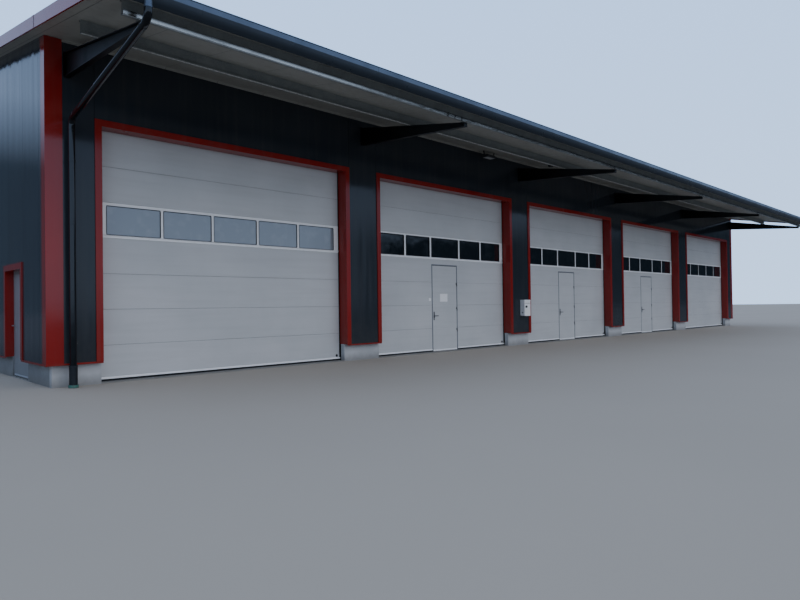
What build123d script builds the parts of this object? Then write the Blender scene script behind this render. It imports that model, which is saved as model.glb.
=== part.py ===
from build123d import *
from math import atan2, cos, degrees, radians, sin, tan
import os

# An industrial hall of five bays: overhead doors in the front, a long canopy
# carried by tapered arms, flat cladding panels on a concrete plinth, a low
# pitched roof and one side door in the left gable.
# Millimetres. X runs along the front to the right, Y runs into the hall and Z
# goes up. The origin is on the ground, at the front cladding face, mid-length.

# Overall sizes
bays = 5
bay = 6250
end_margin = 320
hall_depth = 12500
roof_pitch = 10.25
eaves_height = 5560

# Cladding, plinth and floor
panel_thickness = 100
cladding_bottom = 385
plinth_inset = 100
plinth_thickness = 120
slab_thickness = 20
panel_width = 1000
first_gable_joint = 350
joint_width = 6
joint_depth = 12

# Roof
roof_thickness = 100
rib_height = 42
rib_base = 70
rib_top = 35
rib_pitch = 333
roof_overhang = 250
canopy_roof_reach = 3330
back_roof_reach = 330
ridge_cap_width = 260
sheet = 3
verge_drop = 42
verge_cover = 160
verge_return = 20

# Steel frame
column_depth = 300
flange_width = 150
flange = 11
web = 8
rafter_depth = 300
wall_zone = 255
arm_setback = 240
arm_depth_wall = 395
arm_depth_tip = 80
arm_width = 90
arm_flange = 12
arm_slot_gap = 1
tip_plate = 12
purlin_height = 200
purlin_flange = 70
purlin_lip = 25
purlin_steel = 3
purlin_seat = 20
canopy_purlin_margin = 260
hall_purlins = 5
first_purlin_y = 330
ridge_purlin_gap = 230

# Overhead doors
door_width = 5200
door_height = 4280
trim_face = 110
trim_proud = 20
post_width = 100
head_rail_height = 140
section_height = 610
sections = 7
window_section = 5
leaf_thickness = 42
door_gap = 5
leaf_overlap = 40
section_gap = 0.6
section_groove = 10
groove_depth = 3
seal_height = 35
guide_width = 75
guide_depth = 65
seal_lip = 25
panes = 5
pane_height = 500
pane_width = 940
pane_gap = 50
wicket_pane_width = 855
wicket_middle_pane = 1063
wicket_pane_gap = 88
glass_thickness = 20
glass_set_back = 8
glass_clearance = 0.3
cap_radius = 28
cap_depth = 10
cap_inset = 100
cap_height = 130

# Wicket doors
wicket_width = 980
wicket_height = 2297
wicket_offset = -30
wicket_frame = 30
leaf_gap = 8
threshold_gap = 8
hinge_heights = (560, 1130, 1795)
hinge_radius = 8
hinge_length = 45
hinge_plate = 33
hinge_plate_thickness = 4
hinge_stand_off = 9
pin_radius = 4
running_gap = 0.3
handle_height = 960
handle_inset = 45
lever_length = 130
lever_radius = 9
back_plate_width = 38
back_plate_height = 220
back_plate_depth = 8
handle_reach = 50

# Side door in the left gable
side_door_start = 1510
side_door_width = 1100
side_door_height = 1970
side_door_set_back = 125
side_leaf_thickness = 50
side_frame_width = 45
side_frame_depth = 80

# Gutters and pipes
gutter_width = 140
gutter_height = 200
gutter_front_face = 80
gutter_steel = 3
gutter_rise = 125
gutter_back_rise = 60
gutter_floor = 42
gutter_curve = 260
outlet_length = 40
pipe_wall = 3
pipe_radius = 50
pipe_wall_gap = 55
pipe_bend = 130
pipe_inset = 37
elbow_drop = 135
front_outlet_shift = 100
front_pipe_fall = 420
back_pipe_fall = 300
standpipe_radius = 62
standpipe_height = 355
foot_ring_height = 50
foot_ring_radius = 72
clip_heights = (690, 2000, 3600)
clip_height = 30
clip_thickness = 6
clip_stem = 20

# Fittings on the front
box_x = -2990
box_bottom = 885
box_width = 310
box_height = 485
box_depth = 155
box_round = 14
box_lid = 4
box_lid_margin = 12
knob_radius = 11
knob_depth = 9
knob_inset = 75
knob_height = 1145
lamp_x = -4900
lamp_y = -240
lamp_width = 360
lamp_depth = 190
lamp_height = 60
lamp_drop = 175
lamp_rim = 14
yoke_top_width = 500
yoke_thickness = 6
yoke_depth = 40
supply_box_x = -2500
supply_box_y = -730
supply_box_size = 110
supply_box_height = 45

# Corner and drip flashings
corner_front = 252
corner_side = 210
drip_height = 30
drip_proud = 12
closure_leg = 40

# Places worked out from the sizes above
half_frames = bays * bay / 2
half_length = half_frames + end_margin
frame_lines = [i * bay - half_frames for i in range(bays + 1)]
door_centres = [line + bay / 2 for line in frame_lines[:bays]]
wicket_doors = range(1, bays - 1)
slope = tan(radians(roof_pitch))
ridge_y = hall_depth / 2
purlin_rise = purlin_height / cos(radians(roof_pitch))
crown_rise = (roof_thickness + rib_height) / cos(radians(roof_pitch))
plinth_back = plinth_inset + plinth_thickness
door_face = wall_zone + door_gap
door_top = door_height + leaf_overlap
roof_half_length = half_length + roof_overhang
arm_reach = canopy_roof_reach - arm_setback
eaves_purlin_y = purlin_seat - arm_reach
canopy_purlin_y = eaves_purlin_y / 2


def roof_underside(y):
    """Height of the roof panels' underside at depth y."""
    return eaves_height + slope * (y if y <= ridge_y else hall_depth - y)


def rafter_top(y):
    """Height of the rafters' top flange at depth y."""
    return roof_underside(y) - purlin_rise


def front_plane(y):
    """Upright plane across the front at depth y, drawn as seen from the front."""
    return Plane(origin=(0, y, 0), x_dir=(1, 0, 0), z_dir=(0, -1, 0))


def side_plane(x):
    """Upright plane across the hall at x, with Y to the right and Z up."""
    return Plane(origin=(x, 0, 0), x_dir=(0, 1, 0), z_dir=(1, 0, 0))


def slope_plane(x, y, z, rising=True):
    """Plane at a point of a roof slope: its X goes up the slope, its Y away from it."""
    way = 1 if rising else -1
    direction = (0, way * cos(radians(roof_pitch)), sin(radians(roof_pitch)))
    return Plane(origin=(x, y, z), x_dir=direction, z_dir=(way, 0, 0))


def rectangle(left, right, low, high, mode=Mode.ADD):
    """Adds a rectangle between four limits to the sketch being drawn."""
    with Locations(((left + right) / 2, (low + high) / 2)):
        Rectangle(right - left, high - low, mode=mode)


def outline(*points):
    """Adds the face inside a closed line through the points."""
    Polygon(*points, align=None)


def above_roof(near_y, far_y):
    """Adds the area above the roof panels' underside between two depths of one slope."""
    near, far = roof_underside(near_y), roof_underside(far_y)
    outline((near_y, near), (far_y, far), (far_y, 2 * far), (near_y, 2 * near))


def joint_grooves(plane, places, low, high):
    """Cuts upright panel joints into a wall's face at places along the plane's X."""
    with BuildSketch(plane) as grooves:
        for place in places:
            rectangle(place - joint_width / 2, place + joint_width / 2, low, high)
    extrude(grooves.sketch, amount=-joint_depth, mode=Mode.SUBTRACT)


def i_section(width, depth, flange_thickness, web_thickness):
    """Adds an I section, with its web along the sketch's Y."""
    Rectangle(width, depth)
    for side in (-1, 1):
        pocket = (width - web_thickness) / 2
        with Locations((side * (web_thickness + pocket) / 2, 0)):
            Rectangle(pocket, depth - 2 * flange_thickness, mode=Mode.SUBTRACT)


def roof_band(low, high, front_y, back_y):
    """Adds a band that follows both roof slopes between two rises above the underside."""
    lower = [(y, roof_underside(y) + low) for y in (front_y, ridge_y, back_y)]
    upper = [(y, roof_underside(y) + high) for y in (back_y, ridge_y, front_y)]
    outline(*lower, *upper)


def opening_edges(centre):
    """Left and right edges of an overhead door's opening."""
    return centre - door_width / 2, centre + door_width / 2


def pier_edges():
    """Left and right edges of each stretch of plinth beside the doors."""
    end = half_length - plinth_inset
    lefts = [-end] + [opening_edges(c)[1] for c in door_centres]
    rights = [opening_edges(c)[0] for c in door_centres] + [end]
    return list(zip(lefts, rights))


def wicket_edges(centre):
    """Left and right edges of the wicket opening in a door."""
    middle = centre + wicket_offset
    return middle - wicket_width / 2, middle + wicket_width / 2


def finish(piece, name):
    """Names a piece and writes it."""
    piece.part.label = name
    export_step(piece.part, f"parts/{name}.step")


os.makedirs("parts", exist_ok=True)

# Concrete floor between the plinths, run out through the doorways
with BuildPart() as floor_slab:
    with BuildSketch():
        edge = half_length - plinth_back
        rectangle(-edge, edge, plinth_back, hall_depth - plinth_back)
        for centre in door_centres:
            rectangle(*opening_edges(centre), plinth_inset, plinth_back)
        sill_end = side_door_start + side_door_width
        rectangle(plinth_inset - half_length, -edge, side_door_start, sill_end)
    extrude(amount=slab_thickness)
finish(floor_slab, "floor_slab")

# Front plinth, one length under each pier
with BuildPart() as front_plinth:
    with BuildSketch():
        for left, right in pier_edges():
            rectangle(left, right, plinth_inset, plinth_back)
    extrude(amount=cladding_bottom)
finish(front_plinth, "front_plinth")

# Gable plinths, the left one broken by the side door
with BuildPart() as gable_plinths:
    with BuildSketch():
        outer = half_length - plinth_inset
        inner = half_length - plinth_back
        door_end = side_door_start + side_door_width
        rectangle(-outer, -inner, plinth_back, side_door_start)
        rectangle(-outer, -inner, door_end, hall_depth - plinth_back)
        rectangle(inner, outer, plinth_back, hall_depth - plinth_back)
    extrude(amount=cladding_bottom)
finish(gable_plinths, "gable_plinths")

# Back plinth from corner to corner
with BuildPart() as back_plinth:
    with BuildSketch():
        outer = half_length - plinth_inset
        rectangle(-outer, outer, hall_depth - plinth_back, hall_depth - plinth_inset)
    extrude(amount=cladding_bottom)
finish(back_plinth, "back_plinth")

# Columns at the frame lines, cut to the slope under the rafters
column_middles = (wall_zone + column_depth / 2, hall_depth - wall_zone - column_depth / 2)
rafter_fall = rafter_depth / cos(radians(roof_pitch))
with BuildPart() as columns:
    with BuildSketch(Plane.XY.offset(slab_thickness)):
        with Locations(*[(x, y) for x in frame_lines for y in column_middles]):
            i_section(flange_width, column_depth, flange, web)
    extrude(amount=eaves_height)
    with BuildSketch(side_plane(-half_length)):
        top = rafter_top(ridge_y) + rafter_depth
        outline(
            (0, rafter_top(0) - rafter_fall),
            (ridge_y, rafter_top(ridge_y) - rafter_fall),
            (hall_depth, rafter_top(hall_depth) - rafter_fall),
            (hall_depth, top),
            (0, top),
        )
    extrude(amount=2 * half_length, mode=Mode.SUBTRACT)
finish(columns, "columns")


def rafter_run(near_y, far_y):
    """Builds the six rafters between two depths as I sections along the slope."""
    with BuildPart() as rafters:
        for x in frame_lines:
            for low, high, width in (
                (0, flange, flange_width),
                (flange, rafter_depth - flange, web),
                (rafter_depth - flange, rafter_depth, flange_width),
            ):
                with BuildSketch(side_plane(x - width / 2)):
                    rise = 1 / cos(radians(roof_pitch))
                    outline(
                        (near_y, rafter_top(near_y) - high * rise),
                        (far_y, rafter_top(far_y) - high * rise),
                        (far_y, rafter_top(far_y) - low * rise),
                        (near_y, rafter_top(near_y) - low * rise),
                    )
                extrude(amount=width)
    return rafters


finish(rafter_run(wall_zone, ridge_y), "front_rafters")
finish(rafter_run(ridge_y, hall_depth - wall_zone), "back_rafters")


def arm_bottom(y):
    """Height of a canopy arm's lower edge at depth y."""
    wall = rafter_top(0) - arm_depth_wall
    tip = rafter_top(-arm_reach) - arm_depth_tip
    return wall + (wall - tip) * y / arm_reach


# Canopy arms: tapered welded I sections that run out through the front wall
with BuildPart() as canopy_arms:
    for x in frame_lines:
        with BuildSketch(side_plane(x - arm_width / 2)):
            outline(
                (-arm_reach, arm_bottom(-arm_reach)),
                (wall_zone, arm_bottom(wall_zone)),
                (wall_zone, rafter_top(wall_zone)),
                (-arm_reach, rafter_top(-arm_reach)),
            )
        extrude(amount=arm_width)
        pocket = (arm_width - web) / 2
        for start in (x - arm_width / 2, x + web / 2):
            with BuildSketch(side_plane(start)):
                near, far = tip_plate - arm_reach, wall_zone - tip_plate
                outline(
                    (near, arm_bottom(near) + arm_flange),
                    (far, arm_bottom(far) + arm_flange),
                    (far, rafter_top(far) - arm_flange),
                    (near, rafter_top(near) - arm_flange),
                )
            extrude(amount=pocket, mode=Mode.SUBTRACT)
finish(canopy_arms, "canopy_arms")


def z_section():
    """Adds a lipped Z section that stands on the sketch's origin, web at x = 0."""
    steel = purlin_steel
    rectangle(0, steel, 0, purlin_height)
    rectangle(steel - purlin_flange, steel, 0, steel)
    rectangle(steel - purlin_flange, 2 * steel - purlin_flange, 0, purlin_lip)
    rectangle(0, purlin_flange, purlin_height - steel, purlin_height)
    rectangle(purlin_flange - steel, purlin_flange, purlin_height - purlin_lip, purlin_height)


# Purlins on the rafters and arms
purlin_end = half_length - panel_thickness
canopy_end = half_frames + canopy_purlin_margin
last_purlin_y = ridge_y - ridge_purlin_gap
purlin_step = (last_purlin_y - first_purlin_y) / (hall_purlins - 1)
purlin_ys = [first_purlin_y + i * purlin_step for i in range(hall_purlins)]
with BuildPart() as purlins:
    for y in (eaves_purlin_y, canopy_purlin_y):
        with BuildSketch(slope_plane(-canopy_end, y, rafter_top(y))):
            z_section()
        extrude(amount=2 * canopy_end)
    for y in purlin_ys:
        with BuildSketch(slope_plane(-purlin_end, y, rafter_top(y))):
            z_section()
        extrude(amount=2 * purlin_end)
        back_y = hall_depth - y
        with BuildSketch(slope_plane(purlin_end, back_y, rafter_top(back_y), rising=False)):
            z_section()
        extrude(amount=2 * purlin_end)
finish(purlins, "purlins")

# Front wall panels beside the doors, slotted for the canopy arms
panel_step = door_height + trim_face / 2
seams = [edge + way * trim_face for c in door_centres for edge, way in zip(opening_edges(c), (-1, 1))]
with BuildPart() as front_piers:
    with BuildSketch(side_plane(-half_length)):
        outline(
            (0, cladding_bottom),
            (panel_thickness, cladding_bottom),
            (panel_thickness, roof_underside(panel_thickness)),
            (0, roof_underside(0)),
        )
    extrude(amount=2 * half_length)
    with BuildSketch(front_plane(0)):
        for centre in door_centres:
            left, right = opening_edges(centre)
            rectangle(left - sheet, right + sheet, 0, panel_step)
            rectangle(left - trim_face, right + trim_face, panel_step, 2 * eaves_height)
        for x in frame_lines:
            half = arm_width / 2 + arm_slot_gap
            low = arm_bottom(0) - arm_slot_gap
            rectangle(x - half, x + half, low, rafter_top(panel_thickness) + arm_slot_gap)
    extrude(amount=-panel_thickness, mode=Mode.SUBTRACT)
    joint_grooves(front_plane(0), seams, door_height + trim_face, 2 * eaves_height)
finish(front_piers, "front_piers")

# Wall panels above the doors
with BuildPart() as lintel_panels:
    with BuildSketch(front_plane(0)):
        for centre in door_centres:
            left, right = opening_edges(centre)
            rectangle(left - sheet, right + sheet, door_height + sheet, panel_step)
            rectangle(left - trim_face, right + trim_face, panel_step, roof_underside(panel_thickness))
    extrude(amount=-panel_thickness)
    joint_grooves(front_plane(0), seams, door_height + trim_face, 2 * eaves_height)
    with BuildSketch(side_plane(-half_length)):
        above_roof(0, panel_thickness)
    extrude(amount=2 * half_length, mode=Mode.SUBTRACT)
finish(lintel_panels, "lintel_panels")


def gable_plane(side):
    """Outer face of a gable seen from outside: side is -1 at the left and 1 at the right."""
    return Plane(origin=(side * half_length, 0, 0), x_dir=(0, side, 0), z_dir=(side, 0, 0))


def gable_piece(side, near_y, far_y, low):
    """Builds a stretch of gable wall up to the roof between two depths."""
    with BuildPart() as wall:
        with BuildSketch(gable_plane(side)):
            ys = [near_y, ridge_y, far_y] if near_y < ridge_y < far_y else [near_y, far_y]
            slant = [(side * y, roof_underside(y)) for y in ys]
            outline((side * far_y, low), (side * near_y, low), *slant)
        extrude(amount=-panel_thickness)
        places = [side * y for y in gable_joints if near_y < y < far_y]
        joint_grooves(gable_plane(side), places, low, 2 * eaves_height)
    return wall


gable_near = panel_thickness
gable_far = hall_depth - panel_thickness
side_door_end = side_door_start + side_door_width
gable_panels = int((hall_depth - corner_side - first_gable_joint) // panel_width)
gable_joints = [first_gable_joint + i * panel_width for i in range(gable_panels + 1)]
near_jamb = side_door_start - sheet
far_jamb = side_door_end + sheet
finish(gable_piece(-1, gable_near, near_jamb, cladding_bottom), "left_gable_front")
finish(gable_piece(-1, near_jamb, far_jamb, side_door_height + sheet), "left_gable_over_door")
finish(gable_piece(-1, far_jamb, gable_far, cladding_bottom), "left_gable_back")
finish(gable_piece(1, gable_near, gable_far, cladding_bottom), "right_gable_wall")

# Back wall
with BuildPart() as back_wall:
    with BuildSketch(side_plane(-half_length)):
        outline(
            (gable_far, cladding_bottom),
            (hall_depth, cladding_bottom),
            (hall_depth, roof_underside(hall_depth)),
            (gable_far, roof_underside(gable_far)),
        )
    extrude(amount=2 * half_length)
    side_panels = int((half_length - corner_front) // panel_width)
    places = [i * panel_width for i in range(-side_panels, side_panels + 1)]
    back_face = Plane(origin=(0, hall_depth, 0), x_dir=(-1, 0, 0), z_dir=(0, 1, 0))
    joint_grooves(back_face, places, cladding_bottom, eaves_height)
finish(back_wall, "back_wall")

# Door posts on the plinth and the rail over the doors
with BuildPart() as door_posts:
    with BuildSketch(Plane.XY.offset(cladding_bottom)):
        for centre in door_centres:
            left, right = opening_edges(centre)
            rectangle(left - sheet - post_width, left - sheet, panel_thickness, wall_zone)
            rectangle(right + sheet, right + sheet + post_width, panel_thickness, wall_zone)
    extrude(amount=door_height + sheet - cladding_bottom)
finish(door_posts, "door_posts")

with BuildPart() as wall_rails:
    rail_end = half_length - panel_thickness
    low = door_height + sheet
    with BuildSketch(Plane.XY.offset(low)):
        rectangle(-rail_end, rail_end, panel_thickness, wall_zone)
        rectangle(-rail_end, rail_end, hall_depth - wall_zone, gable_far)
    extrude(amount=head_rail_height)
finish(wall_rails, "wall_rails")


def corner_flashing(side, back):
    """Adds one corner flashing in plan: side is -1 or 1, back is True at the rear."""
    x = side * half_length
    face = hall_depth if back else 0
    inward = -1 if back else 1
    out_x = x + side * sheet
    out_y = face - inward * sheet
    outline(
        (out_x, out_y),
        (x - side * corner_front, out_y),
        (x - side * corner_front, face),
        (x, face),
        (x, face + inward * corner_side),
        (out_x, face + inward * corner_side),
    )


# Red corner flashings
with BuildPart() as corner_flashings:
    with BuildSketch(Plane.XY.offset(cladding_bottom)):
        for side in (-1, 1):
            for back in (False, True):
                corner_flashing(side, back)
    extrude(amount=eaves_height - sheet - cladding_bottom)
finish(corner_flashings, "corner_flashings")


def trim_on(plane, left, right, top, depth):
    """Adds a flashing trim on a wall face: an outer lip, a face and a lining of the opening."""
    face = plane.offset(trim_proud)
    for inner, outer, thick in (
        (0, trim_face, sheet),
        (trim_face - sheet, trim_face, trim_proud),
        (0, sheet, trim_proud + depth),
    ):
        with BuildSketch(face) as ring:
            rectangle(left - outer, right + outer, cladding_bottom, top + outer)
            rectangle(left - inner, right + inner, cladding_bottom, top + inner, mode=Mode.SUBTRACT)
        extrude(ring.sketch, amount=-thick)


# Red trims that face and line the front door openings
with BuildPart() as door_trims:
    for centre in door_centres:
        trim_on(front_plane(0), *opening_edges(centre), door_height, wall_zone)
finish(door_trims, "door_trims")

# Red trim round the side door, seen from the left gable
with BuildPart() as side_door_trim:
    trim_on(gable_plane(-1), -side_door_end, -side_door_start, side_door_height, side_door_set_back)
finish(side_door_trim, "side_door_trim")

# Drip flashings under the cladding: a shelf on the plinth and a lip over its edge
with BuildPart() as drip_flashings:
    out = half_length + drip_proud
    far = hall_depth + drip_proud
    inner = half_length - panel_thickness
    for height, inset in ((sheet, plinth_inset + drip_proud), (drip_height, sheet)):
        with BuildSketch(Plane.XY.offset(cladding_bottom - height)):
            rectangle(-out, out, -drip_proud, far)
            rectangle(inset - out, out - inset, inset - drip_proud, far - inset, mode=Mode.SUBTRACT)
            for centre in door_centres:
                rectangle(*opening_edges(centre), -2 * drip_proud, plinth_back, mode=Mode.SUBTRACT)
            rectangle(-2 * half_length, -inner, side_door_start, side_door_end, mode=Mode.SUBTRACT)
        extrude(amount=height)
finish(drip_flashings, "drip_flashings")

# Light closure angle between the front wall and the soffit
with BuildPart() as soffit_closure:
    with BuildSketch(side_plane(corner_front - half_length)):
        outline(
            (-sheet, eaves_height - closure_leg),
            (0, eaves_height - closure_leg),
            (0, eaves_height),
            (-closure_leg, roof_underside(-closure_leg)),
            (-closure_leg, roof_underside(-closure_leg) - sheet),
            (-sheet, eaves_height - 2 * sheet),
        )
    extrude(amount=2 * (half_length - corner_front))
finish(soffit_closure, "soffit_closure")


def hinge_plane(centre):
    """Plane on a wicket's hinge axis: X toward the fixed side, Y into the door."""
    right = wicket_edges(centre)[1]
    return Plane(origin=(right - leaf_gap / 2, door_face - hinge_stand_off, 0), x_dir=(1, 0, 0))


def hinge_half(axis, side, low):
    """Adds a knuckle and its plate: side is 1 on the fixed part and -1 on the leaf."""
    with BuildSketch(axis.offset(low)) as half:
        Circle(hinge_radius)
        plate = sorted((0, side * hinge_plate))
        rectangle(*plate, hinge_stand_off - hinge_plate_thickness, hinge_stand_off)
        if side < 0:
            Circle(pin_radius + running_gap, mode=Mode.SUBTRACT)
    extrude(half.sketch, amount=hinge_length)


def hinge_pins(axis):
    """Adds the fixed halves of a leaf's hinges, each with its pin."""
    for height in hinge_heights:
        hinge_half(axis, 1, height - hinge_length)
        with BuildSketch(axis.offset(height)) as pin:
            Circle(pin_radius)
        extrude(pin.sketch, amount=hinge_length)


def hinge_sockets(axis):
    """Adds the leaf's halves of its hinges."""
    for height in hinge_heights:
        hinge_half(axis, -1, height + running_gap)


def lever_handle(face):
    """Adds a back plate, a neck and a lever on a leaf's face; the plane's X is the lever's way."""
    with BuildSketch(face) as plate:
        RectangleRounded(back_plate_width, back_plate_height, lever_radius)
    extrude(plate.sketch, amount=back_plate_depth)
    end = face.offset(handle_reach)
    lever = Plane(origin=end.origin - end.x_dir * lever_radius, z_dir=face.x_dir)
    for plane, length in ((face, handle_reach), (lever, lever_length)):
        with BuildSketch(plane) as round_bar:
            Circle(lever_radius)
        extrude(round_bar.sketch, amount=length)


def pane_edges(centre, wicket):
    """Left and right edges of the five panes of a door."""
    widths = [wicket_pane_width] * panes if wicket else [pane_width] * panes
    gap = wicket_pane_gap if wicket else pane_gap
    if wicket:
        widths[panes // 2] = wicket_middle_pane
    left = centre - (sum(widths) + gap * (panes - 1)) / 2
    edges = []
    for width in widths:
        edges.append((left, left + width))
        left += width + gap
    return edges


joint_heights = [slab_thickness + i * section_height for i in range(1, sections)]
window_top = slab_thickness + window_section * section_height
window_low = window_top - (section_height + pane_height) / 2
leaf_low = slab_thickness + seal_height


def section_joints(left, right, top):
    """Cuts the joint grooves between the sections below a height."""
    with BuildSketch(side_plane(left)) as grooves:
        for height in joint_heights:
            if height < top:
                half = section_groove / 2
                outline(
                    (door_face, height - half),
                    (door_face + groove_depth, height),
                    (door_face, height + half),
                )
    extrude(grooves.sketch, amount=right - left, mode=Mode.SUBTRACT)


def sectional_door(centre, wicket):
    """Builds one overhead door, its sections apart by a hair so each is a solid."""
    left, right = opening_edges(centre)
    left, right = left - leaf_overlap, right + leaf_overlap
    with BuildPart() as door:
        with BuildSketch(front_plane(door_face)):
            rectangle(left, right, leaf_low, door_top)
            for height in joint_heights + ([wicket_height + wicket_frame] if wicket else []):
                half = section_gap / 2
                rectangle(left, right, height - half, height + half, mode=Mode.SUBTRACT)
            for start, end in pane_edges(centre, wicket):
                rectangle(start, end, window_low, window_low + pane_height, mode=Mode.SUBTRACT)
            if wicket:
                start, end = wicket_edges(centre)
                start, end = start - wicket_frame, end + wicket_frame
                rectangle(start, end, 0, wicket_height + wicket_frame, mode=Mode.SUBTRACT)
        extrude(amount=-leaf_thickness)
        section_joints(left, right, door_top)
    return door


def wicket_leaf(centre):
    """Builds one wicket door with its hinge halves and lever handles."""
    left, right = wicket_edges(centre)
    left, right = left + leaf_gap, right - leaf_gap
    with BuildPart() as leaf:
        with BuildSketch(front_plane(door_face)):
            rectangle(left, right, slab_thickness + threshold_gap, wicket_height - leaf_gap)
        extrude(amount=-leaf_thickness)
        section_joints(left, right, wicket_height)
        hinge_sockets(hinge_plane(centre))
        for y, way in ((door_face, -1), (door_face + leaf_thickness, 1)):
            spot = (left + handle_inset, y, handle_height)
            lever_handle(Plane(origin=spot, x_dir=(1, 0, 0), z_dir=(0, way, 0)))
    return leaf


# The five overhead doors, the middle three with wickets
for i, centre in enumerate(door_centres):
    finish(sectional_door(centre, i in wicket_doors), f"sectional_door_{i + 1}")
for i in wicket_doors:
    finish(wicket_leaf(door_centres[i]), f"wicket_door_{i + 1}")

# Dark frames round the wickets, two legs and a head, with the fixed hinge halves
with BuildPart() as wicket_frames:
    with BuildSketch(front_plane(door_face)):
        for i in wicket_doors:
            left, right = wicket_edges(door_centres[i])
            leg_top = wicket_height - section_gap
            rectangle(left - wicket_frame, left, leaf_low, leg_top)
            rectangle(right, right + wicket_frame, leaf_low, leg_top)
            head_top = wicket_height + wicket_frame
            rectangle(left - wicket_frame, right + wicket_frame, wicket_height, head_top)
    extrude(amount=-leaf_thickness)
    for i in wicket_doors:
        hinge_pins(hinge_plane(door_centres[i]))
finish(wicket_frames, "wicket_frames")

# Panes of the window sections
with BuildPart() as door_glass:
    with BuildSketch(front_plane(door_face + glass_set_back)):
        for i, centre in enumerate(door_centres):
            for start, end in pane_edges(centre, i in wicket_doors):
                clear = glass_clearance
                high = window_low + pane_height
                rectangle(start + clear, end - clear, window_low + clear, high - clear)
    extrude(amount=-glass_thickness)
finish(door_glass, "door_glass")

# Rubber seals under the doors, and a round cap at each door's lower right corner
with BuildPart() as door_seals:
    with BuildSketch(front_plane(door_face + glass_set_back)):
        for i, centre in enumerate(door_centres):
            left, right = opening_edges(centre)
            rectangle(left - leaf_overlap, right + leaf_overlap, slab_thickness, leaf_low)
            if i in wicket_doors:
                start, end = wicket_edges(centre)
                rectangle(start, end, slab_thickness, leaf_low, mode=Mode.SUBTRACT)
    extrude(amount=2 * glass_set_back - leaf_thickness)
    with BuildSketch(front_plane(door_face)):
        with Locations(*[(opening_edges(c)[1] - cap_inset, cap_height) for c in door_centres]):
            Circle(cap_radius)
    extrude(amount=cap_depth)
finish(door_seals, "door_seals")

# Upright guides with a sealing lip at both sides of each door
with BuildPart() as door_guides:
    for centre in door_centres:
        for edge, way in zip(opening_edges(centre), (-1, 1)):
            with BuildSketch(Plane.XY.offset(slab_thickness)):
                rim = edge + way * (leaf_overlap + running_gap)
                rectangle(*sorted((rim, rim + way * guide_width)), wall_zone, wall_zone + guide_depth)
                rectangle(*sorted((edge - way * seal_lip, rim)), wall_zone, door_face - running_gap)
            extrude(amount=door_top - slab_thickness)
finish(door_guides, "door_guides")

# Side door frame behind the left gable, and its threshold
frame_x = side_door_set_back - half_length
with BuildPart() as side_door_frame:
    with BuildSketch(side_plane(frame_x)):
        width = side_frame_width
        rectangle(side_door_start, side_door_end, slab_thickness, side_door_height)
        rectangle(
            side_door_start + width,
            side_door_end - width,
            slab_thickness,
            side_door_height - width,
            mode=Mode.SUBTRACT,
        )
    extrude(amount=side_frame_depth)
    hinge_y = side_door_start + side_frame_width + leaf_gap / 2
    side_axis = Plane(origin=(frame_x - hinge_stand_off, hinge_y, 0), x_dir=(0, -1, 0))
    hinge_pins(side_axis)
finish(side_door_frame, "side_door_frame")

with BuildPart() as side_door:
    with BuildSketch(side_plane(frame_x)):
        start = side_door_start + side_frame_width + leaf_gap
        end = side_door_end - side_frame_width - leaf_gap
        top = side_door_height - side_frame_width - leaf_gap
        rectangle(start, end, slab_thickness + threshold_gap, top)
    extrude(amount=side_leaf_thickness)
    hinge_sockets(side_axis)
    for x, way in ((frame_x, -1), (frame_x + side_leaf_thickness, 1)):
        spot = (x, end - handle_inset, handle_height)
        lever_handle(Plane(origin=spot, x_dir=(0, -1, 0), z_dir=(way, 0, 0)))
finish(side_door, "side_door")


def roof_slope(eave_y, back):
    """Builds one roof slope as panels with ribs that run up it."""
    way = -1 if back else 1
    pitch = radians(roof_pitch)
    start = ridge_y + way * roof_thickness
    down = (0, -way * cos(pitch), -sin(pitch))
    origin = (0, start, eaves_height + slope * (ridge_y + roof_thickness))
    length = abs(start - eave_y) / cos(pitch) + roof_thickness
    with BuildPart() as roof:
        with BuildSketch(Plane(origin=origin, x_dir=(way, 0, 0), z_dir=down)):
            rectangle(-roof_half_length, roof_half_length, 0, roof_thickness)
            ribs = int(2 * roof_half_length // rib_pitch)
            side_angle = degrees(atan2(rib_height, (rib_base - rib_top) / 2))
            with Locations((0, roof_thickness)):
                with GridLocations(rib_pitch, 0, ribs, 1):
                    Trapezoid(rib_base, rib_height, side_angle, align=(Align.CENTER, Align.MIN))
        extrude(amount=length)
        split(bisect_by=Plane(origin=(0, ridge_y, 0), z_dir=(0, way, 0)), keep=Keep.BOTTOM)
        split(bisect_by=Plane(origin=(0, eave_y, 0), z_dir=(0, way, 0)), keep=Keep.TOP)
    return roof


front_eave_y = -canopy_roof_reach
back_eave_y = hall_depth + back_roof_reach
finish(roof_slope(front_eave_y, False), "roof_front")
finish(roof_slope(back_eave_y, True), "roof_back")

# Ridge cap on the ribs
with BuildPart() as ridge_cap:
    with BuildSketch(side_plane(verge_cover - roof_half_length)):
        roof_band(crown_rise, crown_rise + sheet, ridge_y - ridge_cap_width, ridge_y + ridge_cap_width)
    extrude(amount=2 * (roof_half_length - verge_cover))
finish(ridge_cap, "ridge_cap")

# Red verge flashings: a fascia, a leg over the ribs and a return below
with BuildPart() as verge_flashings:
    for side in (-1, 1):
        for low, high, reach in (
            (-verge_drop, crown_rise + sheet, 0),
            (crown_rise, crown_rise + sheet, verge_cover),
            (-verge_drop, sheet - verge_drop, verge_return),
        ):
            edges = sorted((side * (roof_half_length - reach), side * (roof_half_length + sheet)))
            with BuildSketch(side_plane(edges[0])):
                roof_band(low, high, front_eave_y, back_eave_y)
            extrude(amount=edges[1] - edges[0])
finish(verge_flashings, "verge_flashings")


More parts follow.
